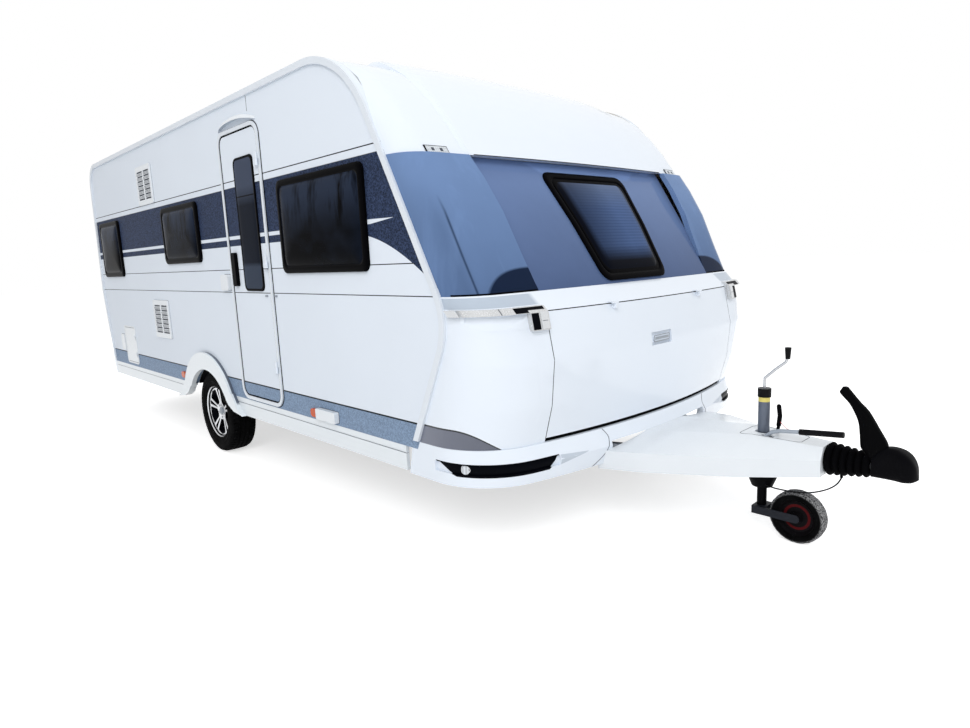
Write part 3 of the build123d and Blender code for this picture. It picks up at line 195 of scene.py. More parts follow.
cableJacket = plainPaint("cableJacket", (0.004, 0.004, 0.005), 0.48, rim=0.1)
wireJacket = plainPaint("wireJacket", (0.42, 0.02, 0.02), 0.42)

cords = {
    "drawbarCable": {
        "route": [(3.059, -0.0465, 0.273), (3.0775, -0.0575, 0.2715), (3.106, -0.062, 0.2698),
                  (3.142, -0.061, 0.269), (3.178, -0.057, 0.2692), (3.212, -0.053, 0.271),
                  (3.245, -0.0495, 0.2755), (3.277, -0.0475, 0.2835), (3.307, -0.046, 0.2955),
                  (3.334, -0.044, 0.309), (3.357, -0.0405, 0.324), (3.375, -0.036, 0.3405),
                  (3.387, -0.032, 0.358), (3.394, -0.029, 0.377)],
        "radius": 0.0035, "length": 0.380, "stiffness": "medium", "lay": "hanging", "node": "drawbar_cable",
        "paint": cableJacket},
    "breakawayWire": {
        "route": [(3.0922, 0.0223, 0.582), (3.108, 0.0095, 0.573), (3.130, -0.007, 0.5655),
                  (3.152, -0.024, 0.562), (3.169, -0.0375, 0.5635), (3.181, -0.047, 0.5668)],
        "radius": 0.0015, "length": 0.116, "stiffness": "limp", "lay": "hanging", "node": "breakaway_wire",
        "paint": wireJacket},
}


def layCord(name, cord):
    # a round cord along its route, from the end that leaves the part
    curve = bpy.data.curves.new(name, "CURVE")
    curve.dimensions = "3D"
    spline = curve.splines.new("NURBS")
    spline.points.add(len(cord["route"]) - 1)
    spline.points.foreach_set("co", np.column_stack([cord["route"], np.ones(len(cord["route"]))]).ravel())
    spline.order_u = 3
    spline.use_endpoint_u = True
    curve.resolution_u = 10
    curve.bevel_depth = cord["radius"]
    curve.bevel_resolution = 4
    curve.use_fill_caps = True
    curve.materials.append(cord["paint"])
    piece = bpy.data.objects.new(name, curve)
    scene.collection.objects.link(piece)
    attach(piece, "caravan")
    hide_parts(cord["node"])
    2 * cord["radius"]


for cordName, cordFacts in cords.items():
    layCord(cordName, cordFacts)
print("cords laid")


studio = {
    "floor": 60.0, "paper": (0.9, 0.9, 0.9), "glow": 0.62, "sky": 0.44,
    "lamps": {  # place, aim, size, watts
        "key": ((9.0, -9.0, 8.0), (0.5, -1.0, 1.2), 7.0, 900.0),
        "fill": ((8.0, 9.0, 6.0), (0.5, 0.5, 1.2), 8.0, 330.0),
        "top": ((-1.0, -1.0, 11.0), (-0.5, 0.0, 1.0), 9.0, 330.0),
        "back": ((-10.0, 4.0, 6.0), (-1.0, 0.0, 1.2), 8.0, 330.0)}}


def buildFloor():
    # pale paper that shows white to the camera and in reflections
    size = studio["floor"]
    mesh = bpy.data.meshes.new("floor")
    mesh.from_pydata([(-size, -size, 0), (size, -size, 0), (size, size, 0), (-size, size, 0)], [], [(0, 1, 2, 3)])
    floor = bpy.data.objects.new("floor", mesh)
    scene.collection.objects.link(floor)
    paint = Paint("floorPaper")
    seen = paint.add("ShaderNodeLightPath", out="Is Camera Ray").most(
        paint.add("ShaderNodeLightPath", out="Is Glossy Ray"))
    matt = paint.add("ShaderNodeBsdfDiffuse", {}, {"Color": studio["paper"]})
    glow = paint.add("ShaderNodeEmission", {}, {"Color": (1.0, 1.0, 1.0), "Strength": seen * studio["glow"]})
    paint.add("ShaderNodeOutputMaterial", {}, {0: paint.add("ShaderNodeAddShader", {}, {0: matt, 1: glow})})
    mesh.materials.append(paint.material)


def buildSky():
    # white to the camera, in reflections and through glass, and a plain level of light on the object
    world = bpy.data.worlds.new("studio")
    world.use_nodes = True
    scene.world = world
    sky = Graph(world.node_tree)
    camera, glossy, through = (sky.add("ShaderNodeLightPath", out=f"Is {ray} Ray")
                               for ray in ("Camera", "Glossy", "Transmission"))
    level = sky.add("ShaderNodeMapRange", {},
                    {"Value": camera.most(glossy).most(through), "To Min": studio["sky"], "To Max": 1.0})
    back = sky.add("ShaderNodeBackground", {}, {"Color": (1.0, 1.0, 1.0), "Strength": level})
    sky.add("ShaderNodeOutputWorld", {}, {0: back})


def buildLamps():
    # soft square lamps that face their aim and stay out of reflections
    for name, (place, aim, span, watts) in studio["lamps"].items():
        data = bpy.data.lights.new(name, "AREA")
        data.size = span
        data.energy = watts
        lamp = bpy.data.objects.new(name, data)
        scene.collection.objects.link(lamp)
        away = np.array(place) - np.array(aim)
        away /= np.linalg.norm(away)
        side = np.cross((0, 0, 1), away)
        side /= np.linalg.norm(side)
        lamp.matrix_world = placed(side, np.cross(away, side), away, place)
        lamp.visible_glossy = False


buildFloor()
buildSky()
buildLamps()
print("studio lit")


def outward(points, faces):
    # turns every face over where the closed mesh holds a negative volume
    corners = points[faces[:, :3]]
    volume = np.einsum("ij,ij->", corners[:, 0], np.cross(corners[:, 1], corners[:, 2]))
    if faces.shape[1] == 4:
        rest = points[faces[:, [0, 2, 3]]]
        volume += np.einsum("ij,ij->", rest[:, 0], np.cross(rest[:, 1], rest[:, 2]))
    return volume >= 0


def makePiece(name, points, faces, paints, body="caravan", ids=None, sharp=32.0, stands=(), slot=None):
    # one mesh: ids pick its faces' finishes, it rides on body, and stands names the nodes it takes the place of
    mesh = bpy.data.meshes.new(name)
    mesh.from_pydata(np.asarray(points, float).reshape(-1, 3).tolist(), [], [list(f) for f in faces])
    for paint in paints:
        mesh.materials.append(paint)
    if ids is not None:
        mesh.polygons.foreach_set("material_index", np.asarray(ids, np.int32))
    mesh.polygons.foreach_set("use_smooth", np.ones(len(mesh.polygons), bool))
    mesh.set_sharp_from_angle(angle=math.radians(sharp))
    piece = bpy.data.objects.new(name, mesh)
    scene.collection.objects.link(piece)
    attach(piece, body)
    if stands:
        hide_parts(*stands)
    return piece


def gridFaces(rows, columns, wrapRows=False, wrapColumns=True):
    # quads between neighbouring rows and columns of a grid of points
    i = np.arange(rows if wrapRows else rows - 1)
    j = np.arange(columns if wrapColumns else columns - 1)
    i, j = np.meshgrid(i, j, indexing="ij")
    below, ahead = (i + 1) % rows, (j + 1) % columns
    quads = np.stack([i * columns + j, i * columns + ahead, below * columns + ahead, below * columns + j], -1)
    return quads.reshape(-1, 4)


def skinRings(rings, wrapRows=False):
    # quads between closed rings of points, with a fan over each end unless the last ring meets the first
    rows, columns = rings.shape[:2]
    points, quads = rings.reshape(-1, 3), gridFaces(rows, columns, wrapRows)
    way = 1 if outward(points, quads) else -1
    faces = quads.tolist()
    if not wrapRows:
        count = rows * columns
        points = np.vstack([points, rings[[0, -1]].mean(1)])
        j = np.arange(columns)
        k = (j + 1) % columns
        first = np.stack([np.full(columns, count), k, j], -1)
        last = np.stack([np.full(columns, count + 1), j + count - columns, k + count - columns], -1)
        faces += np.vstack([first, last]).tolist()
    return points, [face[::way] for face in faces]


def loftPiece(name, rings, paints, body="caravan", ids=None, columnIds=None, wrapRows=False, **more):
    # a closed piece through rings of points; ids give a finish to each row of faces, columnIds to each column
    rows, columns = rings.shape[:2]
    points, faces = skinRings(rings, wrapRows)
    runs = rows if wrapRows else rows - 1
    finishes = np.repeat(np.zeros(runs, int) if ids is None else ids, columns)
    if columnIds is not None:
        finishes = np.tile(columnIds, runs)
    if not wrapRows:
        finishes = np.concatenate([finishes, np.repeat(finishes[[0, -1]], columns)])
    return makePiece(name, points, faces, paints, body, finishes, **more)


def roundedRing(halfWide, halfHigh, radius, perCorner=8, perSide=6):
    # a rounded rectangle as points round it: four arcs with straight runs between them
    turn = np.linspace(0, math.pi / 2, perCorner)
    runs = np.linspace(0, 1, perSide, endpoint=False)[1:]
    corners = [(1, 1, 0.0), (-1, 1, math.pi / 2), (-1, -1, math.pi), (1, -1, 1.5 * math.pi)]
    arcs = [np.column_stack([sx * (halfWide - radius) + radius * np.cos(start + turn),
                             sy * (halfHigh - radius) + radius * np.sin(start + turn)]) for sx, sy, start in corners]
    pieces = []
    for arc, following in zip(arcs, arcs[1:] + arcs[:1]):
        pieces += [arc, arc[-1] + runs[:, None] * (following[0] - arc[-1])]
    return np.vstack(pieces)


def boxPoints(low, high):
    x, y, z = zip(low, high)
    points = np.array([(a, b, c) for a in x for b in y for c in z], float)
    return points, [(0, 1, 3, 2), (4, 6, 7, 5), (0, 4, 5, 1), (2, 3, 7, 6), (0, 2, 6, 4), (1, 5, 7, 3)]


def joined(parts):
    # several (points, faces) as one
    points, faces, start = [], [], 0
    for p, f in parts:
        points.append(p)
        faces += [[i + start for i in face] for face in f]
        start += len(p)
    return np.vstack(points), faces


def turnedRings(profile, centre, count=96, axis="y"):
    # a profile of (radius, distance along the axis) turned about an axis through the centre
    profile = np.asarray(profile, float)
    turn = np.linspace(0, 2 * math.pi, count, endpoint=False)
    r, a = profile[:, 0, None], np.repeat(profile[:, 1, None], count, 1)
    c, s = r * np.cos(turn), r * np.sin(turn)
    order = {"x": (a, c, s), "y": (c, a, s), "z": (c, s, a)}[axis]
    return np.stack(order, -1) + np.asarray(centre, float)


def curvePath(points, steps=8):
    # a smooth line through the points: Catmull-Rom weights on each run
    p = np.asarray(points, float)
    p = np.vstack([2 * p[0] - p[1], p, 2 * p[-1] - p[-2]])
    t = np.linspace(0, 1, steps, endpoint=False)[:, None]
    runs = [0.5 * (2 * b + (c - a) * t + (2 * a - 5 * b + 4 * c - d) * t ** 2 + (3 * b - a - 3 * c + d) * t ** 3)
            for a, b, c, d in zip(p, p[1:], p[2:], p[3:])]
    return np.vstack(runs + [p[-2][None]])


halfBody = 1.25
sides = ((-1, "right"), (1, "left"))   # the way out on Y, and its name
ends = {  # rows of z, x in the middle, x at the side, corner radius
    "lower": [(0.555, 2.434, 2.244, 0.362), (0.74, 2.455, 2.331, 0.37), (0.96, 2.46, 2.373, 0.33),
              (1.19, 2.43, 2.312, 0.232), (1.275, 2.305, 2.25, 0.2)],
    "band": [(1.275, 2.305, 2.25, 0.2), (1.6, 2.112, 2.06, 0.17), (1.945, 1.88, 1.83, 0.15)],
    "shoulder": [(1.245, 2.312, 2.262, 0.21), (1.456, 2.215, 2.166, 0.2), (1.66, 2.128, 2.078, 0.19),
                 (1.83, 2.028, 1.976, 0.175), (1.972, 1.926, 1.872, 0.16)],
    "cap": [(1.945, 1.925, 1.86, 0.15), (2.102, 1.822, 1.75, 0.15), (2.235, 1.709, 1.636, 0.15)],
    "bumper": [(0.375, 2.462, 2.262, 0.372), (0.465, 2.478, 2.282, 0.375), (0.5547, 2.444, 2.254, 0.365)],
    "rear": [(0.6, -3.618, -3.573, 0.13), (0.9, -3.668, -3.63, 0.132), (1.25, -3.69, -3.655, 0.132),
             (1.8, -3.678, -3.64, 0.132), (2.3, -3.638, -3.602, 0.13)],
    "rearBumper": [(0.38, -3.64, -3.59, 0.16), (0.48, -3.698, -3.64, 0.17), (0.5997, -3.69, -3.632, 0.16)],
    "brow": [(1.945, 1.943, 1.877, 0.15), (2.102, 1.840, 1.764, 0.15)],   # the cap's lip over the band
}


def endPoints(name, along, z, out=0.0):
    # point on a moulded end: its plan is a shallow arc over the width, then a tighter corner arc, then the side.
    # along is the distance from the middle on that outline, to the left when positive; out stands off it
    along, z, out = np.broadcast_arrays(np.asarray(along, float), np.asarray(z, float), np.asarray(out, float))
    rows = np.array(ends[name])
    way = 1.0 if rows[0, 1] > 0 else -1.0
    middle, side, corner = (np.interp(z, rows[:, 0], rows[:, k]) for k in (1, 2, 3))
    sag = way * (middle - side)
    big = (halfBody ** 2 + sag ** 2) / (2 * sag)
    bend = np.arcsin((halfBody - corner) / (big - corner))
    s = np.abs(along)
    front = big * bend
    turned = corner * (math.pi / 2 - bend)
    phi = np.minimum(s / big, bend)
    psi = np.clip((s - front) / corner + bend, bend, math.pi / 2)
    beyond = np.maximum(s - front - turned, 0)
    centreX = way * middle - big
    cornerX = centreX + (big - corner) * np.cos(bend)
    onArc = s < front
    x = np.where(onArc, centreX + (big + out) * np.cos(phi), cornerX + (corner + out) * np.cos(psi) - beyond)
    y = np.where(onArc, (big + out) * np.sin(phi), (halfBody - corner) + (corner + out) * np.sin(psi))
    return np.stack([way * x, np.sign(along) * y, z], -1)


def patchPiece(name, surface, along, z, out, thick, paint, body="caravan"):
    # a sheet on a moulded end: along[i, j], z[i, j] and the height out[i, j], closed by a back and an edge
    front = endPoints(surface, along, z, out)
    back = endPoints(surface, along, z, out - thick)
    rows, columns = front.shape[:2]
    top = gridFaces(rows, columns, wrapColumns=False)
    under = top[:, ::-1] + rows * columns
    index = np.arange(rows * columns).reshape(rows, columns)
    loop = np.concatenate([index[0, :-1], index[:-1, -1], index[-1, :0:-1], index[:0:-1, 0]])
    following = np.roll(loop, -1)
    count = rows * columns
    edge = np.stack([following, loop, loop + count, following + count], -1)
    points = np.vstack([front.reshape(-1, 3), back.reshape(-1, 3)])
    faces = np.vstack([top, under, edge])
    if not outward(points, faces):
        faces = faces[:, ::-1]
    return makePiece(name, points, faces.tolist(), [paint], body)


def alongAt(name, z, y=None, x=None):
    # distance along a moulded end's outline where it passes the given y, or the given x on its side
    s = np.linspace(0, 3.2, 6401)
    p = endPoints(name, s, z)
    gap = np.abs(p[:, 1] - abs(y)) if y is not None else np.abs(p[:, 0] - x)
    return float(s[np.argmin(gap)])


def stripPiece(name, surface, path, width, out, thick, paint, body="caravan"):
    # a thin strip on a moulded end that follows path, a list of (along, z)
    line = curvePath(path, 6)
    ahead = np.gradient(line, axis=0)
    ahead /= np.linalg.norm(ahead, axis=1)[:, None]
    across = np.column_stack([-ahead[:, 1], ahead[:, 0]])
    offset = np.array([-0.5, 0.5]) * width
    flat = line[:, None] + across[:, None] * offset[None, :, None]
    return patchPiece(name, surface, flat[..., 0], flat[..., 1], out, thick, paint, body)


def onWall(side):
    # a place on the side wall: a along x, b up, out away from the wall
    def place(a, b, out):
        a, b, out = np.broadcast_arrays(a, b, out)
        return np.stack([a, side * (halfBody + out), b], -1)
    return place


def onEnd(surface):
    # a place on a moulded end: a along its outline, b up, out away from it
    return lambda a, b, out: endPoints(surface, a, b, out)


def ringRows(centre, half, radius, rows):
    # rounded outlines, each grown by its own distance: rows of (distance, out)
    outlines = [roundedRing(half[0] + d, half[1] + d, max(radius + d, 0.0004)) + centre for d, _ in rows]
    return np.array(outlines), np.array([out for _, out in rows])[:, None]


def framePiece(name, place, centre, half, radius, rows, paints, body="caravan"):
    # a closed frame: its section, rows of (distance, out), carried round a rounded outline
    flat, out = ringRows(centre, half, radius, rows)
    return loftPiece(name, place(flat[..., 0], flat[..., 1], out), paints, body, wrapRows=True)


def platePiece(name, place, centre, half, radius, rows, paints, body="caravan", ids=None):
    # a closed plate: rounded outlines, each at its own height, from its back to its middle
    flat, out = ringRows(centre, half, radius, rows)
    return loftPiece(name, place(flat[..., 0], flat[..., 1], out), paints, body, ids)


colours = {
    "white": (0.765, 0.825, 0.905), "skirtWhite": (0.76, 0.81, 0.85), "slate": (0.026, 0.039, 0.080),
    "bandBlue": (0.215, 0.295, 0.42), "lineBlack": (0.010, 0.011, 0.014), "lining": (0.62, 0.58, 0.52),
    "wedge": (0.125, 0.137, 0.178), "shoulderLow": (0.084, 0.140, 0.270), "shoulderHigh": (0.158, 0.250, 0.450),
    "shoulderShadeAndReflection": (0.009, 0.018, 0.045), "bandLow": (0.060, 0.094, 0.196), "bandHigh": (0.136, 0.206, 0.386),
}


stripes = {
    "band": (1.590, 1.970), "nose": (1.40, 0.615, 1.8, 0.243),   # dark band; its foot falls from x, over, power, by
    "low": (0.515, 0.646), "flash": (1.645, 0.0115), "flashRun": (1.56, 0.20, 0.008), "flashEnd": 1.755,
    "lines": [(2.0085, 2.0145, 1.0), (1.967, 1.9715, 0.6), (1.2735, 1.2785, 1.0), (0.642, 0.651, 1.0)],
    "shortLine": (1.4285, 1.4335, 1.90), "joint": (0.2975, 0.3025, 2.40, 2.49), "lining": 1.2165}


def wallPaint():
    # hammered sheet with the painted stripes that run along the side and over the door
    paint = Paint("stripedSheet")
    x, z = paint.x, paint.z
    hammer = paint.cells(95.0)
    speck = paint.noise(150.0, 3.0, 0.75)
    broad = paint.noise(1.3, 2.0, 0.5)
    white = paint.mix(broad, shade(colours["white"], 0.97), shade(colours["white"], 1.02))
    # the dark band's foot: level, then a curve that drops to the nose
    start, over, power, fall = stripes["nose"]
    foot = stripes["band"][0] - ((x - start) / over).most(0.0) ** power * fall
    band = z.over(foot, 0.0015) * (1 - z.over(stripes["band"][1], 0.0015))
    # the white flash in it: level, then it narrows to a point as it rises
    start, over, lift = stripes["flashRun"]
    lean = ((x - start) / over).most(0.0).least(1.0)
    middle, half = stripes["flash"]
    flash = 1 - abs(z - (lean * lift + middle)).over(half * (1 - lean), 0.0012)
    flash = flash * (1 - x.over(stripes["flashEnd"], 0.001))
    grit = speck.over(0.50, 0.22)
    slate = paint.mix(grit, shade(colours["slate"], 0.30), shade(colours["slate"], 1.75))
    colour = paint.mix(band * (1 - flash), white, slate)
    lowBand = paint.band(z, *stripes["low"])
    blue = paint.mix(grit, shade(colours["bandBlue"], 0.74), shade(colours["bandBlue"], 1.28))
    colour = paint.mix(lowBand, colour, blue)
    low, high, end = stripes["shortLine"]
    line = paint.band(z, low, high) * (1 - x.over(end))
    for low, high, strength in stripes["lines"]:
        line = line.most(paint.band(z, low, high) * strength)
    rear, front, low, high = stripes["joint"]
    line = line.most(paint.band(x, rear, front) * z.over(low) * (1 - z.over(high)) * (1 - paint.y.over(0.0)))
    colour = paint.mix(line, colour, colours["lineBlack"])
    colour = paint.mix(1 - abs(paint.y).over(stripes["lining"], 0.0005), colour, colours["lining"])
    height = hammer * (0.35 + band * 0.8 + lowBand * 0.8) + speck * 0.12 - line * 0.8
    return paint.finish(Base_Color=colour, Roughness=speck * 0.15 + 0.34 + band * 0.1, Specular_IOR_Level=0.04,
                        Normal=paint.bump(height, 0.3, 0.0015))


wedge = {"rise": 0.650, "from": 2.05, "fall": 9.5, "foot": 0.5555, "inner": 1.0, "line": 0.004,
         "ledgeShade": (1.2190, 1.2680), "ledgeInner": 0.885, "ledgeShadeColour": (0.46, 0.53, 0.62)}


def endPaint():
    # gloss gelcoat of the moulded front and rear, with the grey wedge that carries the low band round the corner, and
    # painted shade on the sloping ledge over each grab bar
    paint = Paint("gelcoat")
    x, z = paint.x, paint.z
    broad = paint.noise(1.1, 2.0, 0.5)
    peel = paint.noise(160.0, 1.0, 0.4)
    white = paint.mix(broad, shade(colours["white"], 0.985), shade(colours["white"], 1.03))
    side = abs(paint.y).over(wedge["inner"], 0.01) * x.over(1.6) * z.over(wedge["foot"], 0.0008)
    # the wedge's head falls as the cube of the way past its start
    reach = (x - wedge["from"]).most(0.0)
    rise = wedge["rise"] - reach * reach * reach * wedge["fall"]
    tone = paint.mix((x - 1.7) / 0.6, shade(colours["wedge"], 1.5), shade(colours["wedge"], 0.85))
    colour = paint.mix(side * (1 - z.over(rise, 0.0012)), white, tone)
    colour = paint.mix(side * paint.band(z - rise, -wedge["line"], wedge["line"]), colour, colours["lineBlack"])
    # painted shade: a grey-blue tone on the sloping ledge between the shoulder moulding and the grab bar
    ledgeShade = paint.band(z, *wedge["ledgeShade"], 0.002) * abs(paint.y).over(wedge["ledgeInner"], 0.03)
    colour = paint.mix(ledgeShade * x.over(2.05, 0.02), colour, wedge["ledgeShadeColour"])
    return paint.finish(Base_Color=colour, Roughness=peel * 0.05 + 0.16, Coat_Weight=0.25, Coat_Roughness=0.08,
                        Specular_IOR_Level=0.25, Normal=paint.bump(peel, 0.03, 0.0006))


shoulderForm = {"foot": 1.22, "tall": 0.75, "crease": (1.157, 1.302, 0.055), "creaseHead": 1.68,   # y, at z, slope
                "darkReflection": (0.80, 0.345, 1.17, 0.225, 2.6)}   # y, half width, z, height, power of the rounding


def shoulderPaint():
    # tinted gloss moulding: lighter towards its head, a pressed crease with painted shade in it and beside it, and a
    # painted dark reflection, rounded, low on it
    paint = Paint("shoulderGloss")
    y, z = abs(paint.y), paint.z
    cloud = paint.noise(1.7, 4.0, 0.6, (1, 1, 0.55))
    streak = paint.noise(9.0, 3.0, 0.6, (1.0, 1.0, 0.12))
    peel = paint.noise(120.0, 1.0, 0.4)
    up = (z - shoulderForm["foot"]) / shoulderForm["tall"]
    low = paint.mix(cloud, shade(colours["shoulderLow"], 0.8), shade(colours["shoulderLow"], 1.25))
    high = paint.mix(cloud, shade(colours["shoulderHigh"], 0.84), shade(colours["shoulderHigh"], 1.14))
    colour = paint.mix(up.over(0.38, 0.9), low, high)
    colour = paint.mix(streak.over(0.62, 0.2) * 0.22, colour, shade(colours["shoulderHigh"], 1.35))
    across, level, slope = shoulderForm["crease"]
    fold = y - (across + (z - level) * slope)
    # painted shade: a dark line in the pressed crease, and a darker strip beside it
    crease = (1 - abs(fold).over(0.004, 0.007)) * (1 - z.over(shoulderForm["creaseHead"], 0.12))
    beside = paint.band(fold, 0.004, 0.060, 0.05) * (1 - z.over(shoulderForm["creaseHead"] + 0.02, 0.2))
    colour = paint.mix(beside * 0.35, colour, shade(colours["shoulderLow"], 0.7))
    colour = paint.mix(crease * 0.75, colour, colours["shoulderShadeAndReflection"])
    # the painted dark reflection low on the moulding: a squarish ellipse, the sum of width and height shares each to
    # a power
    inner, halfWide, base, tall, power = shoulderForm["darkReflection"]
    darkReflection = ((y - inner) / halfWide).most(0.0) ** power + ((z - base) / tall).most(0.0) ** power
    colour = paint.mix(1 - darkReflection.over(0.93, 0.12), colour, colours["shoulderShadeAndReflection"])
    return paint.finish(Base_Color=colour, Roughness=peel * 0.04 + 0.07, Specular_IOR_Level=0.02,
                        Normal=paint.bump(peel - crease * 3.0, 0.03, 0.001))


def bandPaint():
    # gloss moulding round the front window, lighter towards its head
    paint = Paint("bandGloss")
    cloud = paint.noise(1.5, 4.0, 0.6)
    peel = paint.noise(120.0, 1.0, 0.4)
    up = (paint.z - 1.27) / 0.68
    low = paint.mix(cloud, shade(colours["bandLow"], 0.8), shade(colours["bandLow"], 1.2))
    high = paint.mix(cloud, shade(colours["bandHigh"], 0.86), shade(colours["bandHigh"], 1.14))
    colour = paint.mix(up.over(0.35, 0.9), low, high)
    # a painted pale sky reflection that hangs from the head in long points
    hang = (up - 0.62 - paint.noise(2.6, 1.0, 0.4, (0.0, 1.0, 0.3)) * 0.5).over(0.06, 0.03)
    colour = paint.mix(hang * 0.4, colour, shade(colours["bandHigh"], 1.6))
    return paint.finish(Base_Color=colour, Roughness=peel * 0.04 + 0.08, Specular_IOR_Level=0.05,
                        Normal=paint.bump(peel, 0.02, 0.0006))


def panePaint(name, deep, pale):
    # dark acrylic with soft clouds, and a painted pale sky reflection that hangs from its head in streaks
    paint = Paint(name)
    cloud = paint.noise(2.3, 3.0, 0.55, (1.0, 1.0, 1.6))
    peel = paint.noise(60.0, 1.0, 0.4)
    streak = paint.noise(7.0, 4.0, 0.7, (1.0, 1.0, 0.22))
    colour = paint.mix(cloud.over(0.55, 0.22), deep, pale)
    # painted sky reflection: pale streaks near the pane's head
    paneSkyReflection = paint.z.over(1.72, 0.22) * streak.over(0.44, 0.14)
    colour = paint.mix(paneSkyReflection * 0.8, colour, shade(pale, 3.6))
    return paint.finish(Base_Color=colour, Roughness=peel * 0.03 + 0.035, Specular_IOR_Level=0.012,
                        Normal=paint.bump(peel, 0.015, 0.001))


def doorPanePaint():
    # the door's tall pane: pale haze over its head and its foot, dark between, blind edge across it
    paint = Paint("doorPane")
    z = paint.z
    cloud = paint.noise(3.0, 3.0, 0.55, (1.0, 1.0, 0.5))
    peel = paint.noise(60.0, 1.0, 0.4)
    head = z.over(1.90, 0.12)
    foot = 1 - z.over(1.46, 0.03)
    colour = paint.mix(cloud, (0.004, 0.006, 0.012), (0.012, 0.017, 0.030))
    colour = paint.mix(head, colour, (0.055, 0.070, 0.110))
    colour = paint.mix(foot * 0.8, colour, (0.050, 0.066, 0.100))
    colour = paint.mix(paint.band(z, 1.895, 1.903, 0.002), colour, (0.006, 0.007, 0.010))
    return paint.finish(Base_Color=colour, Roughness=peel * 0.03 + 0.04, Specular_IOR_Level=0.012,
                        Normal=paint.bump(peel, 0.015, 0.001))


def blindPanePaint():
    # front pane: level folds of a blind show behind the acrylic, which is dark round them and black at its foot
    paint = Paint("blindPane")
    y, z = paint.y, paint.z
    cloud = paint.noise(2.1, 3.0, 0.6)
    peel = paint.noise(60.0, 1.0, 0.4)
    fold = (z / 0.0085).wrap(1.0)
    colour = paint.mix(fold, (0.056, 0.100, 0.225), (0.076, 0.132, 0.290))
    colour = paint.mix(z.over(1.76, 0.16) * 0.8, colour, (0.120, 0.165, 0.270))
    colour = paint.mix((1 - (y + 0.06).over(0.0, 0.30)) * 0.72, colour, (0.006, 0.011, 0.028))
    colour = paint.mix(cloud.over(0.5, 0.4) * 0.25, colour, (0.012, 0.022, 0.055))
    reach = (z - 1.29) * 0.105
    inside = (y + reach + 0.205).over(0.0, 0.050) * (1 - (y - reach - 0.225).over(0.0, 0.035))
    inside = inside * z.over(1.435, 0.085) * (1 - z.over(1.850, 0.03))
    colour = paint.mix(inside, (0.0020, 0.0030, 0.0070), colour)
    return paint.finish(Base_Color=colour, Roughness=peel * 0.03 + 0.04, Specular_IOR_Level=0.02,
                        Normal=paint.bump(peel, 0.015, 0.001))


def galvPaint():
    # hot-dip zinc: flat spangles of slightly different brightness
    paint = Paint("galvanised")
    spangle = paint.cells(85.0, "F1", "Color")
    tone = paint.add("ShaderNodeSeparateColor", {}, {0: spangle})
    dust = paint.noise(9.0, 5.0, 0.65)
    colour = paint.mix(tone * 0.6 + dust * 0.4, (0.16, 0.18, 0.21), (0.40, 0.43, 0.47))
    return paint.finish(Base_Color=colour, Metallic=0.6, Roughness=tone * 0.15 + dust * 0.2 + 0.34,
                        Normal=paint.bump(dust, 0.1, 0.001))


jackFinish = {"ring": (0.682, 0.706), "collar": 0.7482, "knob": 0.901, "grip": 3.2138, "hub": (3.199, 0.13)}


def mastPaint():
    # zinc tube with a painted ring near its head
    paint = Paint("mastZinc")
    drawn = paint.noise(38.0, 4.0, 0.6, (1.0, 1.0, 0.25))
    ring = paint.band(paint.z, *jackFinish["ring"], 0.0006)
    colour = paint.mix(drawn, (0.065, 0.080, 0.110), (0.16, 0.185, 0.235))
    colour = paint.mix(ring, colour, (0.70, 0.60, 0.16))
    return paint.finish(Base_Color=colour, Metallic=0.55 * (1 - ring), Roughness=drawn * 0.25 + 0.3,
                        Normal=paint.bump(drawn, 0.08, 0.0006))


def crankPaint():
    # black collar, bright bent rod, black knob
    paint = Paint("crankFinish")
    grain = paint.noise(240.0, 2.0, 0.6)
    black = (1 - paint.z.over(jackFinish["collar"], 0.0006)).most(paint.z.over(jackFinish["knob"], 0.0006))
    colour = paint.mix(black, (0.50, 0.51, 0.53), (0.003, 0.003, 0.004))
    return paint.finish(Base_Color=colour, Metallic=0.85 * (1 - black), Roughness=grain * 0.16 + 0.24 + black * 0.2,
                        Specular_IOR_Level=0.10, Normal=paint.bump(grain, 0.1, 0.0005))


def handbrakePaint():
    # painted tube with a ribbed rubber grip
    paint = Paint("handbrakeFinish")
    grip = paint.x.over(jackFinish["grip"], 0.0006)
    rib = (paint.x / 0.007).wrap(1.0)
    grain = paint.noise(240.0, 2.0, 0.6)
    colour = paint.mix(grain, (0.30, 0.34, 0.39), (0.42, 0.46, 0.52))
    colour = paint.mix(grip, colour, (0.003, 0.003, 0.004))
    return paint.finish(Base_Color=colour, Metallic=0.35 * (1 - grip), Roughness=grain * 0.16 + 0.32 + grip * 0.2,
                        Specular_IOR_Level=0.10, Normal=paint.bump(grain * 0.3 + rib * grip, 0.3, 0.001))


arch = {"centre": (-0.825, 0.277), "rim": 0.5125, "foot": 0.46, "face": 1.270}


def archPaint():
    # white arch moulding whose outer rim is grey
    paint = Paint("archMoulding")
    rim = paint.away(*arch["centre"]).over(arch["rim"], 0.001) * paint.z.over(arch["foot"], 0.02)
    rim = rim * (1 - abs(paint.y).over(arch["face"], 0.001))
    grain = paint.noise(260.0, 2.0, 0.6)
    colour = paint.mix(grain, shade(colours["skirtWhite"], 0.98), shade(colours["skirtWhite"], 1.03))
    colour = paint.mix(rim, colour, (0.095, 0.115, 0.155))
    return paint.finish(Base_Color=colour, Roughness=grain * 0.1 + 0.26, Coat_Weight=0.2, Coat_Roughness=0.15,
                        Normal=paint.bump(grain, 0.04, 0.0005))


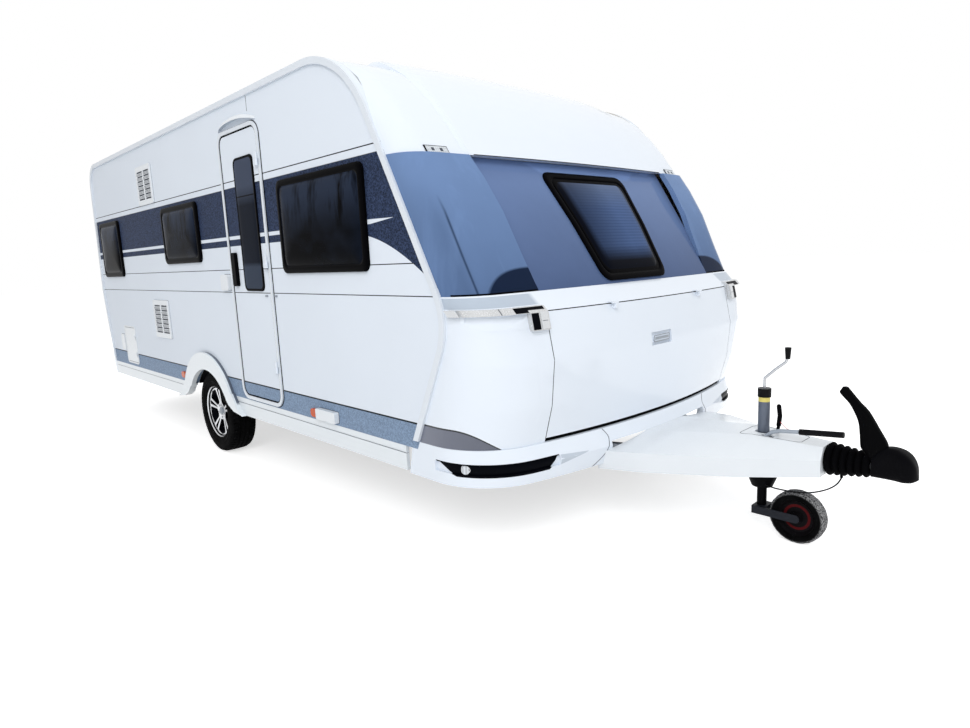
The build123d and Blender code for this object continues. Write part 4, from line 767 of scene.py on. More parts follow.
def tyrePaint(name="tyreRubber", wear=0.0):
    # dusty rubber; wear scuffs the jockey wheel's tread
    paint = Paint(name)
    grain = paint.noise(340.0, 3.0, 0.7)
    dust = paint.noise(14.0, 5.0, 0.7)
    colour = paint.mix(dust.over(0.55, 0.35), (0.0018, 0.0018, 0.002), (0.006, 0.006, 0.0065))
    if wear > 0:
        scuff = paint.noise(170.0, 4.0, 0.8).over(0.49, 0.08)
        outer = paint.away(*jackFinish["hub"]).over(0.119, 0.010)
        colour = paint.mix(scuff * outer * wear, colour, (0.34, 0.34, 0.35))
    return paint.finish(Base_Color=colour, Roughness=grain * 0.2 + 0.6, Specular_IOR_Level=0.015,
                        Normal=paint.bump(grain, 0.25, 0.0008))


def jockeyRimPaint():
    # moulded wheel: dark, with a red ring round its bearing
    paint = Paint("jockeyRimPlastic")
    grain = paint.noise(260.0, 2.0, 0.6)
    ring = paint.band(paint.away(*jackFinish["hub"]), 0.051, 0.064, 0.0015)
    colour = paint.mix(ring, (0.004, 0.004, 0.005), (0.085, 0.006, 0.008))
    colour = paint.mix(grain * 0.3, colour, (0.012, 0.009, 0.009))
    return paint.finish(Base_Color=colour, Roughness=grain * 0.15 + 0.36, Specular_IOR_Level=0.03,
                        Normal=paint.bump(grain, 0.1, 0.0006))


def lensPaint(name, colour):
    # moulded lamp lens with fine upright ribs
    paint = Paint(name)
    rib = (paint.y / 0.006).wrap(1.0) + (paint.x / 0.006).wrap(1.0)
    tint = paint.mix(rib * 0.5, shade(colour, 0.75), shade(colour, 1.15))
    return paint.finish(Base_Color=tint, Roughness=0.08 + rib * 0.02, Specular_IOR_Level=0.2,
                        Normal=paint.bump(rib, 0.25, 0.0015))


tailFinish = {"amberFrom": 0.90, "redFrom": 0.99, "clear": (0.55, 0.56, 0.58), "amber": (0.62, 0.17, 0.01),
              "red": (0.42, 0.008, 0.010), "seam": (0.02, 0.02, 0.02)}


def tailPaint():
    # lamp strip: red at its outer end, amber and clear towards the middle
    paint = Paint("tailLens")
    span = abs(paint.y)
    rib = (paint.y / 0.005).wrap(1.0)
    first, second = tailFinish["amberFrom"], tailFinish["redFrom"]
    colour = paint.mix(span.over(first, 0.001), tailFinish["clear"], tailFinish["amber"])
    colour = paint.mix(span.over(second, 0.001), colour, tailFinish["red"])
    seam = paint.band(span, first - 0.002, first + 0.002, 0.0005)
    seam = seam.most(paint.band(span, second - 0.002, second + 0.002, 0.0005))
    colour = paint.mix(seam, colour, tailFinish["seam"])
    return paint.finish(Base_Color=colour, Roughness=0.08 + rib * 0.02, Specular_IOR_Level=0.2,
                        Normal=paint.bump(rib, 0.25, 0.0015))


def skirtPaint():
    # coated extrusion: fine lines drawn along its length
    paint = Paint("skirtCoating")
    drawn = paint.noise(26.0, 3.0, 0.6, (0.05, 1.0, 8.0))
    colour = paint.mix(drawn, shade(colours["skirtWhite"], 0.965), shade(colours["skirtWhite"], 1.02))
    colour = paint.mix(paint.band(paint.z, 0.4735, 0.4755, 0.0006), colour, (0.20, 0.22, 0.26))
    return paint.finish(Base_Color=colour, Roughness=drawn * 0.1 + 0.26, Coat_Weight=0.2, Coat_Roughness=0.2,
                        Normal=paint.bump(drawn, 0.03, 0.0006))


def brushedPaint(name, colour, rough):
    # bare metal drawn along its height
    paint = Paint(name)
    drawn = paint.noise(60.0, 3.0, 0.6, (1.0, 1.0, 0.08))
    return paint.finish(Base_Color=paint.mix(drawn, shade(colour, 0.82), shade(colour, 1.1)), Metallic=1.0,
                        Roughness=drawn * 0.18 + rough, Normal=paint.bump(drawn, 0.05, 0.0004))


paints = {
    "wall": wallPaint(),
    "end": endPaint(),
    "shoulder": shoulderPaint(),
    "band": bandPaint(),
    "skirt": skirtPaint(),
    "trim": plainPaint("trimWhite", (0.72, 0.77, 0.83), 0.32, 300.0, 0.05, 0.03, rim=0.35),
    "moulding": plainPaint("mouldedWhite", (0.76, 0.80, 0.84), 0.30, 260.0, 0.06, 0.025, coat=0.2, rim=0.35),
    "arch": archPaint(),
    "pane": panePaint("darkPane", (0.0012, 0.0015, 0.0025), (0.007, 0.010, 0.018)),
    "doorPane": doorPanePaint(),
    "blindPane": blindPanePaint(),
    "rim": plainPaint("windowFrame", (0.0018, 0.0018, 0.0024), 0.30, 260.0, 0.06, 0.1, rim=0.012),
    # seal: black rubber, also used for painted shadow lines at the door frame, under the cap's brow and in the locker
    # lid's gaps
    "seal": plainPaint("rubberAndShadowBlack", (0.002, 0.002, 0.0025), 0.6, rim=0.012),
    "black": plainPaint("blackMoulding", (0.002, 0.002, 0.003), 0.40, 420.0, 0.25, 0.15, rim=0.02),
    "cast": plainPaint("castCoating", (0.0022, 0.0022, 0.003), 0.44, 180.0, 0.45, 0.2, rim=0.03),
    "fork": plainPaint("forkCoating", (0.014, 0.016, 0.022), 0.40, 260.0, 0.25, 0.2, rim=0.12),
    "galv": galvPaint(),
    "mast": mastPaint(),
    "crank": crankPaint(),
    "handbrake": handbrakePaint(),
    "steel": brushedPaint("zincSteel", (0.56, 0.57, 0.59), 0.22),
    "chrome": plainPaint("chrome", (0.70, 0.72, 0.74), 0.14, 200.0, 0.02, 0.02, metal=0.9),
    "satin": plainPaint("satinBar", (0.62, 0.63, 0.64), 0.26, 240.0, 0.03, 0.04, metal=0.35),
    "tyre": tyrePaint(),
    "castorTyre": tyrePaint("castorRubber", 1.0),
    "jockeyRim": jockeyRimPaint(),
    "amber": lensPaint("amberLens", (0.56, 0.075, 0.008)),
    "clear": lensPaint("clearLens", (0.62, 0.66, 0.70)),
    "tail": tailPaint(),
    "opal": plainPaint("opalLid", (0.60, 0.65, 0.70), 0.16, 120.0, 0.03, 0.03, coat=0.4),
    "board": plainPaint("coatedBoard", (0.030, 0.030, 0.032), 0.7, 90.0, 0.4, 0.25),
    "lining": plainPaint("liningBoard", (0.62, 0.58, 0.52), 0.6, 160.0, 0.1, 0.06),
    "grey": plainPaint("greyMoulding", (0.27, 0.30, 0.34), 0.42, 300.0, 0.15, 0.06),
    "slot": plainPaint("slotShade", (0.075, 0.085, 0.105), 0.6, 300.0, 0.1, 0.08, rim=0.1),
    "alloy": brushedPaint("machinedAlloy", (0.66, 0.67, 0.69), 0.20),
    "pocket": plainPaint("pocketPaint", (0.0018, 0.0022, 0.004), 0.30, 200.0, 0.05, 0.1, rim=0.02),
    "shade": plainPaint("shadeWhite", (0.52, 0.58, 0.66), 0.35, 300.0, 0.05, 0.04, rim=0.3),
    "lever": plainPaint("leverRubber", (0.0022, 0.0022, 0.0026), 0.55, 90.0, 0.9, 0.2, rim=0.02),
    "plate": plainPaint("blankPlate", (0.70, 0.72, 0.74), 0.35, 260.0, 0.04, 0.02),
}
print("finishes mixed:", len(paints))


skinForm = {"merge": 0.00002, "sharp": 24}   # metres, degrees


def smoothGroup():
    # joins the loose triangles, then keeps only edges sharper than the limit
    tree = bpy.data.node_groups.new("softSkin", "GeometryNodeTree")
    for way in ("INPUT", "OUTPUT"):
        tree.interface.new_socket("Geometry", in_out=way, socket_type="NodeSocketGeometry")
    skin = Graph(tree)
    bare = skin.add("GeometryNodeRemoveAttribute", {},
                    {"Geometry": skin.add("NodeGroupInput"), "Name": "custom_normal"})
    merged = skin.add("GeometryNodeMergeByDistance", {}, {"Geometry": bare, "Distance": skinForm["merge"]})
    smooth = skin.add("GeometryNodeSetShadeSmooth", {"domain": "FACE"}, {"Geometry": merged, "Shade Smooth": True})
    angle = skin.add("GeometryNodeInputMeshEdgeAngle", out="Unsigned Angle")
    sharp = skin.add("FunctionNodeCompare", {"operation": "GREATER_THAN"},
                     {0: angle, 1: math.radians(skinForm["sharp"])})
    crease = skin.add("GeometryNodeSetShadeSmooth", {"domain": "EDGE"},
                      {"Geometry": smooth, "Selection": sharp, "Shade Smooth": False})
    skin.add("NodeGroupOutput", {}, {0: crease})
    return tree


softSkin = smoothGroup()
dressed = {
    "wall": ["side_wall_right", "side_wall_left", "door_leaf"],
    "end": ["front_cap", "front_lower_shell", "locker_lid", "front_bumper", "rear_shell", "rear_bumper",
            "roof_panel"],
    "shoulder": ["front_shoulder_panels"],
    "band": ["front_band_panel"],
    "skirt": ["side_skirts"],
    "trim": ["corner_trims", "door_frame"],
    "moulding": ["cassette_flap", "service_flaps", "fridge_vents", "hatch_frames", "drawbar_cover", "awning_lamp"],
    "arch": ["wheel_arch_trims"],
    "opal": ["hatch_lid_front", "hatch_lid_rear"],
    "galv": ["chassis", "axle", "steady_front_left", "steady_front_right", "steady_rear_left",
             "steady_rear_right"],
    "mast": ["jockey_mast"],
    "crank": ["jockey_crank"],
    "handbrake": ["handbrake_lever"],
    "steel": ["overrun_tube"],
    "satin": ["grab_handles"],
    "cast": ["coupling_head", "jockey_clamp", "jockey_leg"],
    "fork": ["jockey_fork"],
    "black": ["coupling_lever", "door_handle", "wheel_boxes"],
    "board": ["floor_panel"],
    "lining": ["locker_bulkhead"],
    "amber": ["side_markers"],
    "clear": ["front_lamps"],
    "tail": ["tail_lamps"],
    "rim": ["rear_window", "front_window", "side_windows", "door_window"],
    "tyre": ["tyre_left", "tyre_right", "bellows", "jockey_tyre"],
    "jockeyRim": ["jockey_rim"],
    "alloy": ["rim_left", "rim_right"],
}


def dressNodes():
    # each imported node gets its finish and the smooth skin
    for paintName, names in dressed.items():
        for name in names:
            materials = nodes[name].data.materials
            materials.clear()
            materials.append(paints[paintName])
            nodes[name].modifiers.new("softSkin", "NODES").node_group = softSkin


dressNodes()
print("nodes dressed")


sidePanes = {  # x rear, x front, sill, head
    "front": (0.615, 1.535, 1.398, 1.945), "middle": (-1.45, -0.675, 1.496, 1.945),
    "rear": (-3.33, -2.68, 1.405, 1.942)}
paneForm = {"radius": 0.045, "rows": [  # inset from the outline, height above the wall, 0 frame or 1 pane
    (0.000, 0.0004, 0), (0.000, 0.011, 0), (0.002, 0.016, 0), (0.007, 0.0195, 0), (0.030, 0.0215, 0),
    (0.036, 0.0205, 0), (0.040, 0.0170, 0), (0.044, 0.0165, 1), (0.050, 0.0195, 1), (0.060, 0.0235, 1),
    (0.080, 0.0275, 1), (0.110, 0.0305, 1), (0.150, 0.0325, 1), (0.200, 0.0336, 1), (0.225, 0.0340, 1)]}


def paneRings(halfWide, halfHigh, rows, radius):
    # each ring is the outline drawn in towards the middle, evenly on both axes
    rings = []
    for inset, height, _ in rows:
        ring = roundedRing(halfWide, halfHigh, radius)
        ring = ring * [(halfWide - inset) / halfWide, (halfHigh - inset) / halfHigh]
        rings.append(np.column_stack([ring, np.full(len(ring), height)]))
    return np.array(rings)


def windowPiece(name, rings, rows, pane, node, body="caravan"):
    # frame and pane in one closed piece: the third value of each row tells them apart
    loftPiece(name, rings, [paints["rim"], paints[pane]], body, ids=[row[2] for row in rows][1:], stands=[node],
              slot="window_tint")


def buildSideWindows():
    # one framed pane on each wall for each opening, never drawn in past its own middle
    for side, tag in sides:
        for name, (x0, x1, z0, z1) in sidePanes.items():
            halfHigh = (z1 - z0) / 2
            rows = [(min(i, halfHigh * 0.93), h, p) for i, h, p in paneForm["rows"]]
            flat = paneRings((x1 - x0) / 2, halfHigh, rows, paneForm["radius"])
            rings = np.stack([flat[..., 0] + (x0 + x1) / 2, side * (halfBody + flat[..., 2]),
                              flat[..., 1] + (z0 + z1) / 2], -1)
            windowPiece(f"window_{tag}_{name}", rings, rows, "pane", "side_windows")


buildSideWindows()
frontGlass = {
    "head": (1.890, 0.375), "sill": (1.292, 0.300), "radius": 0.06,   # height, half width there
    "rows": [  # inset, height off the band, 0 frame or 1 pane
        (0.0, -0.004, 0), (0.0, 0.010, 0), (0.003, 0.015, 0), (0.010, 0.018, 0), (0.026, 0.0185, 0),
        (0.031, 0.0165, 0), (0.034, 0.012, 0), (0.038, 0.0115, 0), (0.042, 0.0150, 0), (0.050, 0.0165, 0),
        (0.056, 0.0160, 0), (0.060, 0.0180, 1), (0.072, 0.0225, 1), (0.095, 0.0260, 1), (0.13, 0.0280, 1),
        (0.18, 0.0292, 1), (0.24, 0.0298, 1), (0.27, 0.0300, 1)]}


def buildFrontWindow():
    # a rounded outline whose width changes evenly from sill to head, drawn in towards its middle row by row
    (head, top), (sill, foot), rows = frontGlass["head"], frontGlass["sill"], frontGlass["rows"]
    halfHigh, middle = (head - sill) / 2, (top + foot) / 2
    y, z = roundedRing(middle, halfHigh, frontGlass["radius"]).T
    y = y * (1 + (top - foot) / (top + foot) * z / halfHigh)
    rings = [endPoints("band", y * (1 - inset / middle), (sill + head) / 2 + z * (1 - inset / halfHigh), height)
             for inset, height, _ in rows]
    windowPiece("window_front", np.array(rings), rows, "blindPane", "front_window")


buildFrontWindow()
rearGlass = {"half": 0.620, "sill": 1.400, "head": 1.945, "radius": 0.06, "bulge": 0.0275}


def buildRearWindow():
    # the same section on the rear end, with a flatter pane
    sill, head = rearGlass["sill"], rearGlass["head"]
    rows = [(i, min(h, rearGlass["bulge"]), p) for i, h, p in paneForm["rows"]]
    flat = paneRings(rearGlass["half"], (head - sill) / 2, rows, rearGlass["radius"])
    rings = endPoints("rear", flat[..., 0], flat[..., 1] + (sill + head) / 2, flat[..., 2] - 0.001)
    windowPiece("window_rear", rings, rows, "pane", "rear_window")


buildRearWindow()


doorGlass = {
    "x": (0.044, 0.330), "z": (1.288, 2.145), "radius": 0.04, "face": 1.256,
    "rows": [(0.0, 0.0004, 0), (0.0, 0.006, 0), (0.003, 0.009, 0), (0.012, 0.010, 0), (0.016, 0.0085, 0),
             (0.020, 0.0085, 1), (0.028, 0.0095, 1), (0.060, 0.0099, 1), (0.130, 0.0100, 1)]}


def buildDoorWindow():
    # a tall narrow pane that rides on the door
    (x0, x1), (z0, z1) = doorGlass["x"], doorGlass["z"]
    flat = paneRings((x1 - x0) / 2, (z1 - z0) / 2, doorGlass["rows"], doorGlass["radius"])
    rings = np.stack([flat[..., 0] + (x0 + x1) / 2, -doorGlass["face"] - flat[..., 2],
                      flat[..., 1] + (z0 + z1) / 2], -1)
    windowPiece("window_door", rings, doorGlass["rows"], "doorPane", "door_window", "entry_door")


buildDoorWindow()
print("windows built")


def spanPiece(name, surface, y0, y1, z0, z1, out, thick, paint, steps=24, x0=None):
    # a rectangular sheet on a moulded end between two widths (or from x0 on the side) and two heights
    middle = (z0 + z1) / 2
    first = alongAt(surface, middle, y=y0) if x0 is None else alongAt(surface, middle, x=x0)
    reach = sorted([first, alongAt(surface, middle, y=y1)])
    along, z = np.meshgrid(math.copysign(1.0, y1) * np.linspace(*reach, steps), np.linspace(z0, z1, 5))
    return patchPiece(name, surface, along, z, out, thick, paint)


def spanOf(x0, x1, z0, z1):
    # a rectangle as its centre and its half sizes
    return ((x0 + x1) / 2, (z0 + z1) / 2), ((x1 - x0) / 2, (z1 - z0) / 2)


doorTrim = {
    "outline": ((0.126, 1.431), (0.276, 0.875), 0.062),   # centre, half sizes, corner radius
    "seal": [(-0.0052, 0.0058), (-0.0040, 0.0080), (0.0020, 0.0084), (0.0044, 0.0070), (0.0044, -0.004),
             (0.0002, -0.004), (0.0002, 0.0058)],
    "line": [(0.0291, -0.001), (0.0291, 0.0032), (0.0345, 0.0022), (0.0345, -0.001)],
    "clip": [(0.0, 0.0), (0.0, 0.006), (-0.0015, 0.010), (-0.004, 0.011)], "clipHalf": (0.013, 0.006),
    "clipRadius": 0.003, "clipOnDoor": (0.345, 1.258), "clipOnWall": (0.462, 1.258), "doorFace": 0.006}


def buildDoorTrim():
    # rubber round the door, the painted shadow line at its frame's edge, and the two halves of the clip that holds it
    # open
    wall, half, radius = onWall(-1), doorTrim["clipHalf"], doorTrim["clipRadius"]
    framePiece("door_seal", wall, *doorTrim["outline"], doorTrim["seal"], [paints["seal"]], "entry_door")
    # painted shadow: a black line round the outside of the door frame
    framePiece("door_frame_shadow_line", wall, *doorTrim["outline"], doorTrim["line"], [paints["seal"]])
    platePiece("door_clip_0", wall, doorTrim["clipOnDoor"], half, radius,
               [(d, o + doorTrim["doorFace"]) for d, o in doorTrim["clip"]], [paints["grey"]], "entry_door")
    platePiece("door_clip_wall_0", wall, doorTrim["clipOnWall"], half, radius, doorTrim["clip"], [paints["grey"]])


buildDoorTrim()
vents = {
    "boxes": [(-1.965, -1.590, 2.012, 2.334), (-1.940, -1.555, 0.862, 1.192)], "radius": 0.016,
    "rows": 7, "splits": 5, "margin": 0.030, "web": 0.012, "gap": 0.0022, "deep": 0.003,
    "slots": [(-0.0067, -0.0008, 0.0075), (0.0008, 0.0067, 0.0075)],       # foot, head, height off the wall
    "between": [(0.0115, 0.0165, 0.0124), (0.0210, 0.0260, 0.0124)],
    "edge": [(0.0, -0.001), (0.0, 0.0018), (0.0022, 0.0016), (0.0022, -0.001)]}


def buildVentSlots():
    # painted shade: dark sheets in the openings, in two halves with thin upright webs in them, and more between one
    # row and the next
    boxes, margin, web, gap = [], vents["margin"], vents["web"], vents["gap"]
    for x0, x1, z0, z1 in vents["boxes"]:
        pitch, middle = (z1 - z0 - 2 * margin) / vents["rows"], (x0 + x1) / 2
        for row in range(vents["rows"]):
            z = z0 + margin + pitch * (row + 0.5)
            slots = vents["slots"] + (vents["between"] if row < vents["rows"] - 1 else [])
            for a, b in ((x0 + margin, middle - web), (middle + web, x1 - margin)):
                cuts = np.linspace(a, b, vents["splits"] + 1)
                boxes += [boxPoints((rear + gap, -halfBody - face, z + low),
                                    (front - gap, vents["deep"] - halfBody - face, z + high))
                          for rear, front in zip(cuts, cuts[1:]) for low, high, face in slots]
    # painted shade: the dark sheets in the grille's openings
    makePiece("vent_slot_shade", *joined(boxes), [paints["slot"]])
    for i, box in enumerate(vents["boxes"]):
        framePiece(f"vent_edge_{i}", onWall(-1), *spanOf(*box), vents["radius"], vents["edge"], [paints["grey"]])


buildVentSlots()
flapLines = {  # x rear, x front, foot, head, corner radius, inner and outer edge of the line, side
    "cassette": (-2.945, -2.625, 0.560, 0.900, 0.020, 0.0008, 0.0042, -1),
    "filler": (-3.085, -2.975, 0.665, 0.825, 0.014, 0.0001, 0.0026, -1),
    "lockBox": (-0.320, -0.200, 1.290, 1.400, 0.016, 0.0001, 0.0026, -1),
    "cowl": (0.882, 1.100, 0.530, 0.596, 0.010, 0.0001, 0.0026, -1),
    "inlet": (-1.650, -1.500, 0.760, 0.930, 0.014, 0.0001, 0.0026, 1),
    "luggage": (-3.200, -2.200, 0.600, 0.900, 0.020, 0.0001, 0.0030, 1)}


def buildFlapLines():
    for name, (*box, radius, near, far, side) in flapLines.items():
        framePiece(f"flap_line_{name}", onWall(side), *spanOf(*box), radius,
                   [(near, -0.001), (near, 0.0012), (far, 0.0012), (far, -0.001)], [paints["slot"]])


buildFlapLines()
bumperTrim = {
    "fog": (0.4372, 0.4848, -0.0100), "lips": ([0.4265, 0.4366], [0.4854, 0.4905]), "lip": 0.0006,
    "near": ((0.438, 0.878), (0.485, 0.820)), "far": ((0.438, 2.105), (0.485, 1.972)),   # z with y, z with x
    "scoop": (0.812, 0.640), "scoopFoot": (0.4385, 0.4695), "scoopHead": (0.4865, 0.4720), "scoopLevel": 0.46,
    "seam": ((0.511, 0.5535), (0.487, 0.520), (0.486, 0.492), (0.514, 0.436), (0.560, 0.400), (0.600, 0.377)),
    "bezel": (2.146, 0.461), "bezelHalf": 0.0205,
    "ring": [(0.0, 0.0), (0.0, 0.002), (0.003, 0.003), (0.006, 0.002), (0.006, 0.0)]}


def buildBumperTrim():
    # the dark pocket round each front lamp, a grey sheet of painted shade over the white scoop that narrows from it
    # towards the middle, and the seam
    fogFoot, fogHead, depth = bumperTrim["fog"]
    below, above = bumperTrim["lips"]
    z = np.concatenate([below, np.linspace(fogFoot, fogHead, 9), above])
    level = np.array([bumperTrim["lip"]] * 2 + [depth] * 9 + [bumperTrim["lip"]] * 2)[:, None]
    share = (z - z[0]) / (z[-1] - z[0])
    nearLow, nearHigh = (alongAt("bumper", v, y=y) for v, y in bumperTrim["near"])
    farLow, farHigh = (alongAt("bumper", v, x=x) for v, x in bumperTrim["far"])
    near, far = nearLow + share * (nearHigh - nearLow), farLow + share ** 0.8 * (farHigh - farLow)
    along = near[:, None] + (far - near)[:, None] * np.linspace(0, 1, 49)
    tall = np.repeat(z[:, None], 49, 1)
    scoopY = np.linspace(*bumperTrim["scoop"], 17)
    scoopAlong = np.array([[alongAt("bumper", bumperTrim["scoopLevel"], y=v) for v in scoopY]] * 5)
    share = (scoopY - scoopY[0]) / (scoopY[-1] - scoopY[0])
    foot, head = (low + (high - low) * share for low, high in (bumperTrim["scoopFoot"], bumperTrim["scoopHead"]))
    scoopZ = foot + (head - foot) * np.linspace(0, 1, 5)[:, None]
    seam = [(alongAt("bumper", v, y=w), v) for w, v in bumperTrim["seam"]]
    ring = [(d * 0.6, o + depth - 0.001) for d, o in bumperTrim["ring"]]
    x, lampZ = bumperTrim["bezel"]
    half = bumperTrim["bezelHalf"]
    for side, tag in sides:
        patchPiece(f"fog_insert_{tag}", "bumper", side * along, tall, level, 0.0036, paints["pocket"])
        # painted shade: a thin grey sheet over the scoop's hollow
        patchPiece(f"bumper_scoop_shade_{tag}", "bumper", side * scoopAlong, scoopZ, 0.0005, 0.0012, paints["shade"])
        stripPiece(f"bumper_seam_{tag}", "bumper", [(side * a, v) for a, v in seam], 0.0036, 0.0006, 0.0014,
                   paints["slot"])
        framePiece(f"fog_bezel_{tag}", onEnd("bumper"), (side * alongAt("bumper", lampZ, x=x), lampZ), (half, half),
                   half - 0.0001, ring, [paints["chrome"]])


buildBumperTrim()
lidTrim = {
    "side": (0.576, 1.1868, 0.8705), "sideHalf": 0.0022,   # foot, head, y of the gap beside the lid
    "reach": (1.1875, 0.868),   # z and y where the gaps above and below it end
    "gaps": {"head": (1.1854, 1.1897, -0.0012, 0.012), "foot": (0.5558, 0.5700, -0.0075, 0.006)},
    "face": 2.458, "centre": (-0.014, 0.969), "lock": (0.080, 0.019), "recess": (0.0975, 0.0345),
    "lockRows": [(0.0, -0.002), (0.0, 0.0006), (-0.002, 0.0014), (-0.004, 0.0014), (-0.005, 0.0004),
                 (-0.012, 0.0004), (-0.014, 0.0012)],
    "recessRows": [(-0.001, -0.0098), (-0.001, -0.0088), (-0.013, -0.0088), (-0.013, -0.0098)]}


def onLock(a, b, out):
    # the upright face of the locker lid: a across, b up
    a, b, out = np.broadcast_arrays(a, b, out)
    return np.stack([lidTrim["face"] + out, a, b], -1)


def buildLidTrim():
    # black strips in the gaps round the locker lid, rubber with the gaps' shade painted in, and the lid's lock plate
    foot, head, y = lidTrim["side"]
    # black strips set into the gaps beside, over and under the lid: rubber, with the gaps' shade painted in
    z = np.linspace(foot, head, 40)
    path = np.array([alongAt("lower", v, y=y) for v in z])[:, None]
    for side, tag in sides:
        patchPiece(f"lid_gap_{tag}", "lower", side * path + np.array([-1, 1]) * lidTrim["sideHalf"],
                   np.repeat(z[:, None], 2, 1), -0.0012, 0.012, paints["seal"])
    level, y = lidTrim["reach"]
    reach = alongAt("lower", level, y=y)
    for tag, (low, high, out, thick) in lidTrim["gaps"].items():
        along, z = np.meshgrid(np.linspace(-reach, reach, 80), [low, high])
        patchPiece(f"lid_gap_{tag}", "lower", along, z, out, thick, paints["seal"])
    platePiece("lid_lock", onLock, lidTrim["centre"], lidTrim["lock"], 0.012, lidTrim["lockRows"],
               [paints["grey"], paints["shade"]], "gas_locker_lid", ids=[0, 0, 0, 0, 1, 0])
    framePiece("lid_lock_recess", onLock, lidTrim["centre"], lidTrim["recess"], 0.003, lidTrim["recessRows"],
               [paints["shade"]], "gas_locker_lid")


buildLidTrim()
grabTrim = [  # name, y from, y to, foot, head, height off the shell, thickness, finish
    ("inset", 0.990, 1.062, 1.1905, 1.2138, 0.0278, 0.005, "pocket"),
    ("inset_head", 0.892, 0.990, 1.2010, 1.2138, 0.0278, 0.005, "pocket"),
    ("cap", 0, 1.236, 1.1875, 1.2165, 0.0282, 0.007, "chrome", 24, 2.131),
    ("joint", 1.1195, 1.1230, 1.1882, 1.2158, 0.0272, 0.005, "slot", 3),
    ("pocket", 0.938, 0.980, 1.1110, 1.1860, 0.0278, 0.005, "pocket"),
    ("latch", 0.888, 0.930, 1.1120, 1.1920, 0.0300, 0.009, "chrome"),
    ("latch_line", 0.894, 0.924, 1.1480, 1.1505, 0.0306, 0.002, "slot")]


def buildGrabTrim():
    for side, tag in sides:
        for name, y0, y1, z0, z1, out, thick, finish, *more in grabTrim:
            spanPiece(f"grab_{name}_{tag}", "lower", side * y0, side * y1, z0, z1, out, thick, paints[finish], *more)


buildGrabTrim()
scoopTrim = {
    "z": (1.1155, 1.1900), "tall": 0.066, "level": 1.15, "near": 0.988, "far": 2.185,
    "rise": 0.0008, "deep": 0.0108, "seal": (1.2762, 1.2835), "sealLevel": 1.280, "sealNear": 0.816, "sealFar": 2.13}


def buildScoops():
    # a crescent hollow under each grab bar, and the rubber under each shoulder moulding
    u, z = np.linspace(-1, 1, 41), np.linspace(*scoopTrim["z"], 19)
    near = alongAt("lower", scoopTrim["level"], y=scoopTrim["near"])
    far = alongAt("lower", scoopTrim["level"], x=scoopTrim["far"])
    deep = 1 - ((z[-1] - z[:, None]) / scoopTrim["tall"]) / np.sqrt(np.clip(1 - u[None] ** 2, 0.0004, 1))
    out = scoopTrim["rise"] - scoopTrim["deep"] * np.clip(deep, 0, 1) ** 0.6
    along, tall = np.meshgrid(near + (far - near) * (u + 1) / 2, z)
    level = scoopTrim["sealLevel"]
    foot = np.linspace(alongAt("shoulder", level, y=scoopTrim["sealNear"]),
                       alongAt("shoulder", level, x=scoopTrim["sealFar"]), 60)
    for side, tag in sides:
        patchPiece(f"grab_scoop_{tag}", "lower", side * along, tall, out, 0.0012, paints["end"])
        flat, sealZ = np.meshgrid(side * foot, scoopTrim["seal"])
        patchPiece(f"shoulder_seal_{tag}", "shoulder", flat, sealZ, 0.0014, 0.003, paints["seal"])


buildScoops()
capTrim = {"reach": (1.948, 0.848), "seal": (1.9454, 1.9500), "marker": (0.9840, 1.1180, 1.9462, 1.9835),
           "diodes": (1.026, 1.076), "diodeHalf": 0.008, "diodeZ": (1.9560, 1.9720)}


def buildCapTrim():
    # a black strip under the cap's brow, rubber with the brow's shadow painted in, and each marker lamp's base with
    # its two diodes
    level, y = capTrim["reach"]
    reach = alongAt("brow", level, y=y)
    along, z = np.meshgrid(np.linspace(-reach, reach, 90), capTrim["seal"])
    # painted shadow: the black strip under the brow, also standing for rubber
    patchPiece("cap_seal_and_shadow", "brow", along, z, 0.0010, 0.004, paints["seal"])
    y0, y1, z0, z1 = capTrim["marker"]
    half = capTrim["diodeHalf"]
    for side, tag in sides:
        spanPiece(f"marker_base_{tag}", "cap", side * y0, side * y1, z0, z1, 0.0046, 0.0050, paints["seal"])
        for i, y in enumerate(capTrim["diodes"]):
            spanPiece(f"marker_diode_{tag}_{i}", "cap", side * (y - half), side * (y + half), *capTrim["diodeZ"],
                      0.0080, 0.002, paints["slot"], steps=4)


buildCapTrim()
print("body trim built")
tyre = {
    "radius": 0.322, "lugs": 64, "grooves": (-0.036, 0.0, 0.036), "depth": 0.007, "axle": (-0.800, 0.322),
    "face": 1.1425, "bead": 0.2062, "half": 0.0800, "tread": [0.0600, 0.0700, 0.0800],
    "wall": [(0.0870, 0.3115), (0.0935, 0.2980), (0.0965, 0.2840), (0.0975, 0.2680), (0.0970, 0.2560),
             (0.0976, 0.2545), (0.0976, 0.2505), (0.0962, 0.2490), (0.0940, 0.2370), (0.0915, 0.2270),
             (0.0930, 0.2245), (0.0925, 0.2195), (0.0900, 0.2150), (0.0865, 0.2105), (0.0850, 0.2068)],
    "edge": ([0.0, 0.0515, 0.052, 0.0870, 0.0940, 0.0966], [0, 0, 0.0062, 0.0062, 0.0040, 0.0]),   # cut by width
    "sipe": ([0.0, 0.0055, 0.006, 0.0305, 0.031, 0.2], [0, 0, 0.0032, 0.0032, 0, 0]),
    "turns": [0.0, 0.22, 0.26, 0.50, 0.54, 0.72, 0.76, 0.96],   # where a lug's columns stand, as shares of it
    "slots": [1.0, 1.0, 0, 0, 0, 0, 0, 0], "cuts": [0, 0, 0, 0, 1.0, 1.0, 0, 0], "lean": 0.35}


